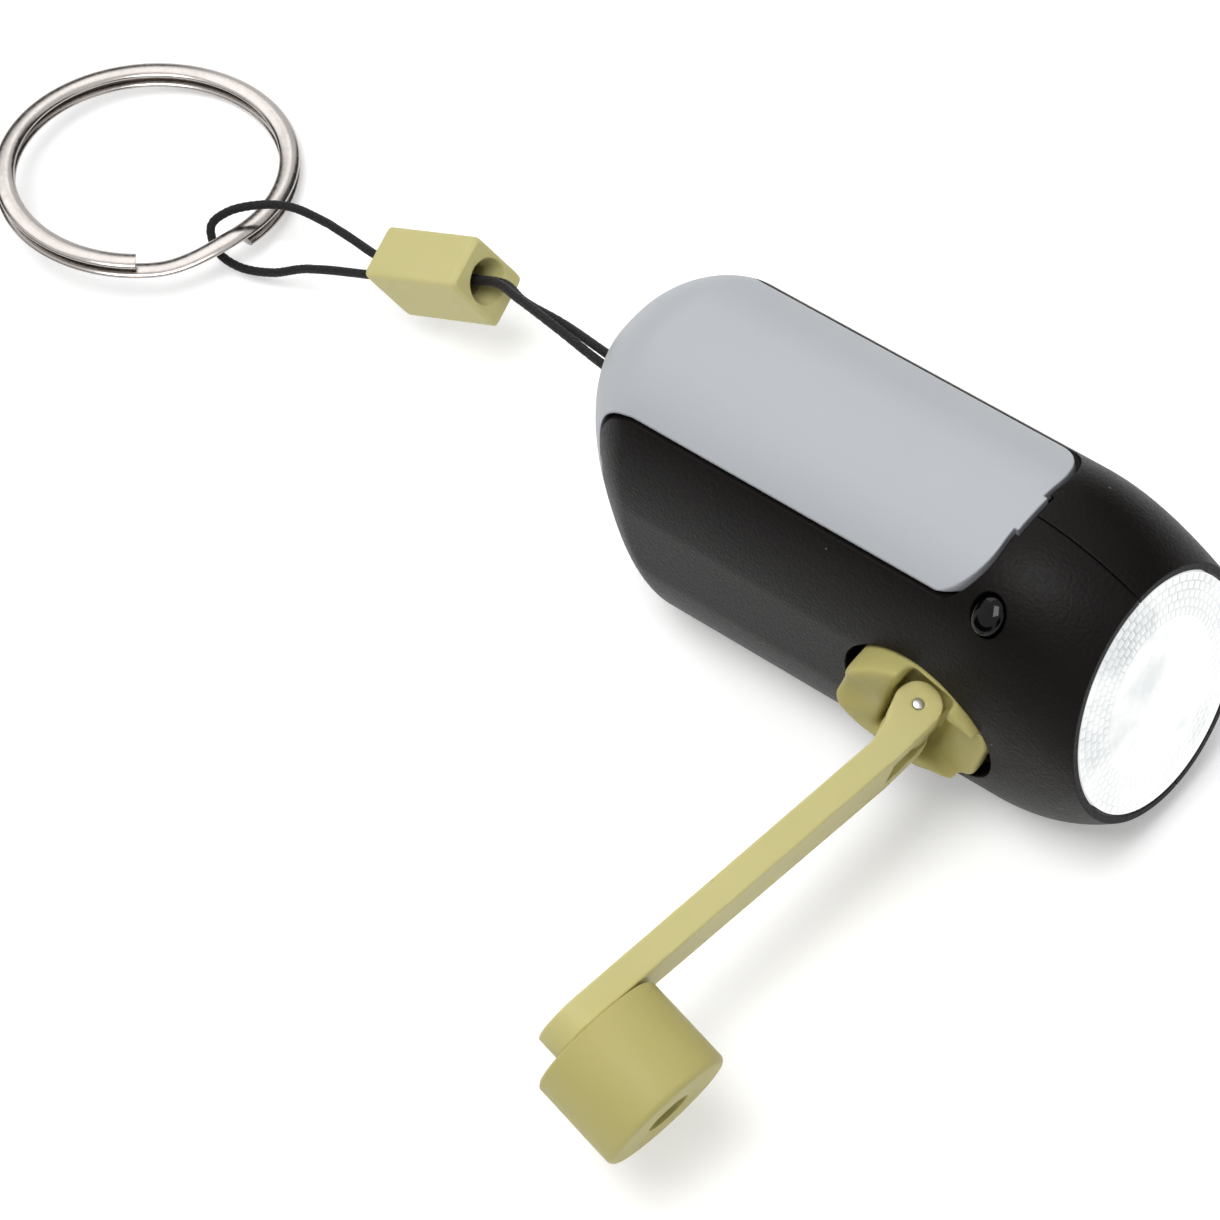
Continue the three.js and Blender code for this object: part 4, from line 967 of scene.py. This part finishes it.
# Crank
def make_hub(material):
    reach = 2 * HUB_RADIUS
    profile = [
        (0, STEM_FOOT), (STEM_RADIUS, STEM_FOOT), (STEM_RADIUS, HUB_FOOT), (HUB_RADIUS, HUB_FOOT),
        (HUB_RADIUS, HUB_CREST - 2 * HUB_EDGE), (HUB_RADIUS - HUB_EDGE / 3, HUB_CREST - HUB_EDGE),
        (HUB_RADIUS - HUB_EDGE, HUB_CREST), (0, HUB_CREST),
    ]
    side = [(-HUB_FLAT, STEM_FOOT), (HUB_FLAT, STEM_FOOT), *HUB_TOP_LINE]
    ends = [(HUB_END, STEM_FOOT), *reversed(HUB_END_LINE), (-HUB_END, STEM_FOOT)]
    slot = [
        (-HUB_TROUGH_HALF, HUB_SLOT_FLOOR), (ARM_HALF_DEPTH, HUB_SLOT_FLOOR),
        (HUB_RADIUS, SIDE_FLAT + SLOT_LIP), (HUB_RADIUS, HUB_CREST + OVERRUN),
        (-HUB_TROUGH_HALF, HUB_CREST + OVERRUN),
    ]
    made = lathe("hub", profile, ROUND_SIDES)
    keep(made, prism("side", side, -reach, reach, "Y"), prism("ends", ends, -reach, reach, "X"))
    bpy.ops.mesh.primitive_uv_sphere_add(segments=DISH_SIDES, ring_count=DISH_SIDES // 2, radius=DISH_SPHERE)
    dish = bpy.context.object
    dish.data.transform(Matrix.Translation((DISH_PLACE[0], DISH_PLACE[1], DISH_PLACE[2] + DISH_SPHERE)))
    cut(
        made,
        prism("trough", HUB_TROUGH, -HUB_TROUGH_HALF, HUB_TROUGH_HALF, "Y"),
        prism("slot", slot, -HUB_SLOT_HALF, HUB_SLOT_HALF, "X"),
        dish,
    )
    soften(made, *HUB_FORM)
    knuckle = (0, PIN_HEIGHT)
    root = HUB_SLOT_FLOOR - GAP
    join(
        made,
        box((-KNUCKLE_RADIUS, -KNUCKLE_HALF, root), (KNUCKLE_RADIUS, KNUCKLE_HALF, PIN_HEIGHT)),
        bar(KNUCKLE_RADIUS, -KNUCKLE_HALF, KNUCKLE_HALF, "Y", knuckle, ROUND_SIDES),
    )
    cut(
        made,
        bar(SHAFT_RADIUS + RUNNING_GAP, STEM_FOOT - OVERRUN, SHAFT_TOP + RUNNING_GAP, "Z"),
        bar(PIN_RADIUS + RUNNING_GAP, -reach, reach, "Y", knuckle),
    )
    soften(made, *HUB_FINISH)
    place(made, "hub", crank_frame, "crank", ["crank_hub"], "crank_yellow", material)


def make_arm(material):
    reach = 3 * BOSS_RADIUS
    side = [
        (-BOSS_RADIUS, 0), (-0.7 * BOSS_RADIUS, 0.9 * BOSS_RADIUS), (-0.35 * BOSS_RADIUS, 1.5 * BOSS_RADIUS),
        (ARM_INNER, 2.5 * BOSS_RADIUS), (ARM_INNER, ARM_LENGTH + ARM_END_RADIUS),
        (ARM_OUTER, ARM_LENGTH + ARM_END_RADIUS), (ARM_OUTER, 2 * BOSS_RADIUS), (BOSS_RADIUS, 0),
    ]
    plan = [(-ARM_HALF_DEPTH, -BOSS_RADIUS), (ARM_HALF_DEPTH, -BOSS_RADIUS)]
    plan += arc((0, ARM_LENGTH), ARM_END_RADIUS, 0, math.pi, ARM_END_STEPS)
    post_end = ARM_OUTER + GAP + KNOB_LENGTH - KNOB_BORE_DEPTH - RUNNING_GAP
    end = (0, ARM_LENGTH)
    made = prism("side", side, -reach, reach, "Y")
    join(made, bar(BOSS_RADIUS, -reach, reach, "Y", sides=ROUND_SIDES))
    keep(made, prism("plan", plan, -reach, reach, "X"))
    join(made, bar(POST_RADIUS, ARM_OUTER - GAP, post_end, "X", end))
    cut(
        made,
        box((-reach, -FORK_HALF_WIDTH, -reach), (reach, FORK_HALF_WIDTH, FORK_REACH)),
        bar(PIN_RADIUS, -reach - OVERRUN, reach + OVERRUN, "Y"),
        bar(SCREW_RADIUS + THREAD_GAP, post_end - SCREW_REACH - GAP, post_end + OVERRUN, "X", end),
    )
    soften(made, *ARM_FINISH)
    place(made, "arm", arm_frame, "arm", ["crank_arm"], "crank_yellow", material)


def make_pin(material):
    half = ARM_HALF_DEPTH + PIN_PROUD
    radius = PIN_RADIUS - PIN_SHRINK
    profile = [
        (0, -half), (0.75 * radius, -half), (radius, PIN_EDGE - half), (radius, half - PIN_EDGE),
        (0.75 * radius, half), (0.3 * radius, half - PIN_DIMPLE), (0, half - PIN_DIMPLE),
    ]
    made = lathe("pin", profile, SMALL_SIDES)
    made.data.transform(turn(QUARTER, "X"))
    place(made, "fold_pin", arm_frame, "arm", ["hinge_pin"], "steel", material, 40)


def rounded_rim(radius, height, rounding, steps=10):
    corner = []
    for step in range(steps + 1):
        angle = QUARTER * step / steps
        corner.append((radius - rounding * (1 - math.cos(angle)), height - rounding * (1 - math.sin(angle))))
    return corner


def make_knob(material):
    floor = KNOB_LENGTH - KNOB_BORE_DEPTH
    bore = POST_RADIUS + RUNNING_GAP
    edge_inset, edge_height = KNOB_BACK_EDGE
    profile = [
        (bore, 0), (KNOB_RADIUS - KNOB_ROUNDING / 2, 0),
        (KNOB_RADIUS - edge_inset, edge_height), (KNOB_RADIUS, KNOB_ROUNDING / 2),
    ]
    profile += rounded_rim(KNOB_RADIUS, KNOB_LENGTH, KNOB_ROUNDING)
    profile += [
        (KNOB_BORE + KNOB_LIP, KNOB_LENGTH), (KNOB_BORE + KNOB_LIP_CORNER, KNOB_LENGTH - KNOB_LIP_CORNER),
        (KNOB_BORE, KNOB_LENGTH - KNOB_LIP), (KNOB_BORE, floor), (bore, floor),
    ]
    made = lathe("knob", profile, ROUND_SIDES, closed=True)
    made.data.transform(Matrix.Translation((ARM_OUTER + GAP, 0, 0)) @ turn(QUARTER, "Y"))
    place(made, "knob_drum", knob_frame, "knob", ["knob"], "crank_yellow", material, 45)


def screw_profile(head, height, shank, reach):
    shaft = [(0, -reach), (shank, SCREW_TIP - reach), (shank, 0), (head, 0)]
    return shaft + rounded_rim(head, height, SCREW_ROUNDING, SCREW_RIM_STEPS) + [(0, height)]


def cross_cut(head, height):
    arm, half, depth = 0.62 * head, 0.13 * head, 0.5 * height
    first = box((-arm, -half, height - depth), (arm, half, height + OVERRUN))
    return join(first, box((-half, -arm, height - depth), (half, arm, height + OVERRUN)))


def make_screws(material):
    floor = ARM_OUTER + GAP + KNOB_LENGTH - KNOB_BORE_DEPTH + THREAD_GAP
    profile = screw_profile(SCREW_HEAD_RADIUS, SCREW_HEAD_HEIGHT, SCREW_RADIUS, SCREW_REACH)
    made = cut(lathe("screw", profile, SMALL_SIDES), cross_cut(SCREW_HEAD_RADIUS, SCREW_HEAD_HEIGHT))
    made.data.transform(Matrix.Translation((floor, 0, 0)) @ turn(QUARTER, "Y"))
    place(made, "knob_fixing", knob_frame, "arm", ["knob_screw"], "steel", material, 40)
    for number, (x, z, seat) in enumerate(CASE_SCREWS):
        reach = CASE_SCREW_REACH + seat + GAP / 2
        profile = screw_profile(CASE_SCREW_HEAD, CASE_SCREW_HEAD_HEIGHT, CASE_SCREW_RADIUS, reach)
        made = cut(lathe("screw", profile, SMALL_SIDES), cross_cut(CASE_SCREW_HEAD, CASE_SCREW_HEAD_HEIGHT))
        made.data.transform(Matrix.Translation((x, seat + GAP / 2, z)) @ turn(-QUARTER, "X"))
        nodes = [f"case_screw_{number + 1}"]
        place(made, f"case_fixing_{number + 1}", torch_frame, "case", nodes, "steel", material, 40)


def make_bead(material):
    half = BEAD_LENGTH / 2
    shoulder = half - BEAD_CHAMFER
    rings = []
    for x, share in ((half, BEAD_END_SHARE), (shoulder, 1), (-shoulder, 1), (-half, BEAD_END_SHARE)):
        rings.append(oval(x, BEAD_HALF_WIDTH * share, BEAD_HALF_HEIGHT * share, BEAD_EXPONENT, BEAD_SIDES))
    wide = BEAD_BORE + BEAD_BORE_SPREAD
    mouth = [(BEAD_LENGTH, BEAD_MOUTH), (half, BEAD_MOUTH), (half - BEAD_MOUTH_DEPTH, BEAD_MOUTH_END)]
    made = cut(
        skin("bead", rings),
        skin("bore", [oval(x, wide, BEAD_BORE, 2, ROUND_SIDES) for x in (BEAD_LENGTH, -BEAD_LENGTH)]),
        skin("mouth", [oval(x, radius, radius, 2, ROUND_SIDES) for x, radius in mouth]),
    )
    soften(made, *BEAD_FINISH)
    return place(made, "slide_bead", bead_frame, "slider", ["bead"], "crank_yellow", material)


# Split ring: rounded wire wound almost twice, with a step between its two layers
def make_ring(material):
    wire = oval(0, RING_BAND / 2, RING_WIRE / 2, RING_CORNER_SHARE, RING_SIDES)
    rings = []
    for number in range(RING_STEPS + 1):
        turns = RING_FIRST_TURN + (RING_LAST_TURN - RING_FIRST_TURN) * number / RING_STEPS
        share = min(1, max(0, (turns - RING_JOG_START) / (RING_JOG_END - RING_JOG_START)))
        lift = (share * share * (3 - 2 * share) - 0.5) * (RING_WIRE + RING_COIL_GAP)
        angle = 2 * math.pi * turns
        radius = RING_RADIUS - RING_BAND / 2 + wire[:, 1]
        x, y = radius * math.cos(angle), radius * math.sin(angle)
        rings.append(np.stack([x, y, lift + wire[:, 2]], axis=1))
    made = skin("ring", rings)
    return place(made, "key_ring", ring_frame, "ring", ["split_ring"], "ring_nickel", material, 60)


# Inner pieces keep their solids
def dress_inside():
    metal = steel("steel_inside", 0.55, 0.35)
    looks = {
        "gear": plain("gear_plastic", (0.72, 0.69, 0.60), (0.80, 0.77, 0.69), 0.45),
        "steel": metal,
        "copper": plain("copper_wire", (0.42, 0.13, 0.05), (0.55, 0.20, 0.08), 0.3, 1),
        "board": plain("circuit_board", (0.02, 0.11, 0.05), (0.04, 0.16, 0.08), 0.4),
        "lamp": plain("lamp_body", (0.85, 0.85, 0.80), (0.92, 0.92, 0.88), 0.3),
        "magnet": plain("magnet", (0.07, 0.07, 0.08), (0.11, 0.11, 0.12), 0.5, 0.6),
        "reflector_chrome": plain("bright_bowl", (0.78, 0.78, 0.78), (0.86, 0.86, 0.86), 0.12, 1),
        "button_gloss": plain("switch_plastic", (0.01, 0.01, 0.01), (0.02, 0.02, 0.02), 0.3),
    }
    for row in frame["record"]["subparts"]:
        node = frame["nodes"][row["node"]]
        if node.hide_render or row["material_slot"] not in looks:
            continue
        node.data.materials.clear()
        node.data.materials.append(looks[row["material_slot"]])


# Floor, world and lamps
def seen_rays(nodes, links):
    """1 for the rays by which the camera, gloss and clear pieces see the background."""
    rays = nodes.new("ShaderNodeLightPath")
    total = rays.outputs["Is Camera Ray"]
    for kind in ("Is Glossy Ray", "Is Transmission Ray"):
        most = nodes.new("ShaderNodeMath")
        most.operation = "MAXIMUM"
        links.new(total, most.inputs[0])
        links.new(rays.outputs[kind], most.inputs[1])
        total = most.outputs["Value"]
    return total


def make_floor():
    half = FLOOR_HALF
    corners = [(-half, -half, 0), (half, -half, 0), (half, half, 0), (-half, half, 0)]
    floor = new_object("floor", corners, [(0, 1, 2, 3)])
    tree = Tree("floor")
    tree.look("Base Color", shade((0.88, 0.88, 0.88)))
    tree.look("Roughness", 0.9)
    tree.look("Specular IOR Level", 0.1)
    tree.look("Emission Color", shade((1, 1, 1)))
    tree.look("Emission Strength", tree.math("MULTIPLY", seen_rays(tree.nodes, tree.links), FLOOR_GLOW))
    floor.data.materials.append(tree.material)


def make_flags():
    """Dark studio flags round the table, which only gloss and metal see."""
    tree = Tree("flag")
    tree.look("Base Color", shade((0.02, 0.02, 0.02)))
    tree.look("Roughness", 0.9)
    for number, (start, end, low, high) in enumerate(FLAGS):
        edge = arc((0, 0), FLAG_RADIUS, start * DEGREE, end * DEGREE, FLAG_STEPS)
        points = [(x, y, z) for z in (low, high) for x, y in edge]
        spans = range(FLAG_STEPS - 1)
        faces = [(step, step + 1, FLAG_STEPS + step + 1, FLAG_STEPS + step) for step in spans]
        flag = new_object(f"flag_{number + 1}", points, faces)
        flag.data.materials.append(tree.material)
        flag.visible_camera = False
        flag.visible_diffuse = False
        flag.visible_shadow = False
        flag.visible_transmission = False


def make_world():
    world = bpy.data.worlds.new("studio")
    world.use_nodes = True
    bpy.context.scene.world = world
    nodes, links = world.node_tree.nodes, world.node_tree.links
    soft = nodes["Background"]
    soft.inputs["Color"].default_value = shade((1, 1, 1))
    soft.inputs["Strength"].default_value = SOFT_LIGHT
    white = nodes.new("ShaderNodeBackground")
    white.inputs["Color"].default_value = shade((1, 1, 1))
    white.inputs["Strength"].default_value = 1
    mix = nodes.new("ShaderNodeMixShader")
    links.new(seen_rays(nodes, links), mix.inputs["Fac"])
    links.new(soft.outputs["Background"], mix.inputs[1])
    links.new(white.outputs["Background"], mix.inputs[2])
    links.new(mix.outputs["Shader"], nodes["World Output"].inputs["Surface"])


def area_lamp(name, spot, size, power):
    data = bpy.data.lights.new(name, "AREA")
    data.size = size
    data.energy = power
    lamp = bpy.data.objects.new(name, data)
    bpy.context.collection.objects.link(lamp)
    lamp.location = spot
    lamp.rotation_euler = (-Vector(spot)).to_track_quat("-Z", "Y").to_euler()


make_camera()
cord, cord_path = make_cord()
yellow = crank_plastic("crank_plastic", (0.545, 0.500, 0.213), (0.605, 0.555, 0.258))
# Hub and knob: the same yellow plastic as the arm, drawn in a darker, more olive copy, which is painted
# shade
painted_shade_yellow = crank_plastic("crank_plastic_painted_shade", (0.435, 0.392, 0.138), (0.483, 0.434, 0.168))
bright = steel("bright_steel", 0.6, 0.42)
make_housing(case_plastic())
make_panel(panel_plastic())
make_lens(lens_clear())
make_button(button_gloss())
make_hub(painted_shade_yellow)
make_arm(yellow)
make_pin(bright)
make_knob(painted_shade_yellow)
make_screws(bright)
bead = make_bead(yellow)
ring = make_ring(nickel())
dress_inside()
make_floor()
make_flags()
make_world()
area_lamp("key", (0.1, -0.2, 0.78), 0.4, 4.0)
area_lamp("fill", (-0.5, 0.3, 0.6), 0.6, 1.5)

bpy.context.scene.view_settings.view_transform = "Standard"
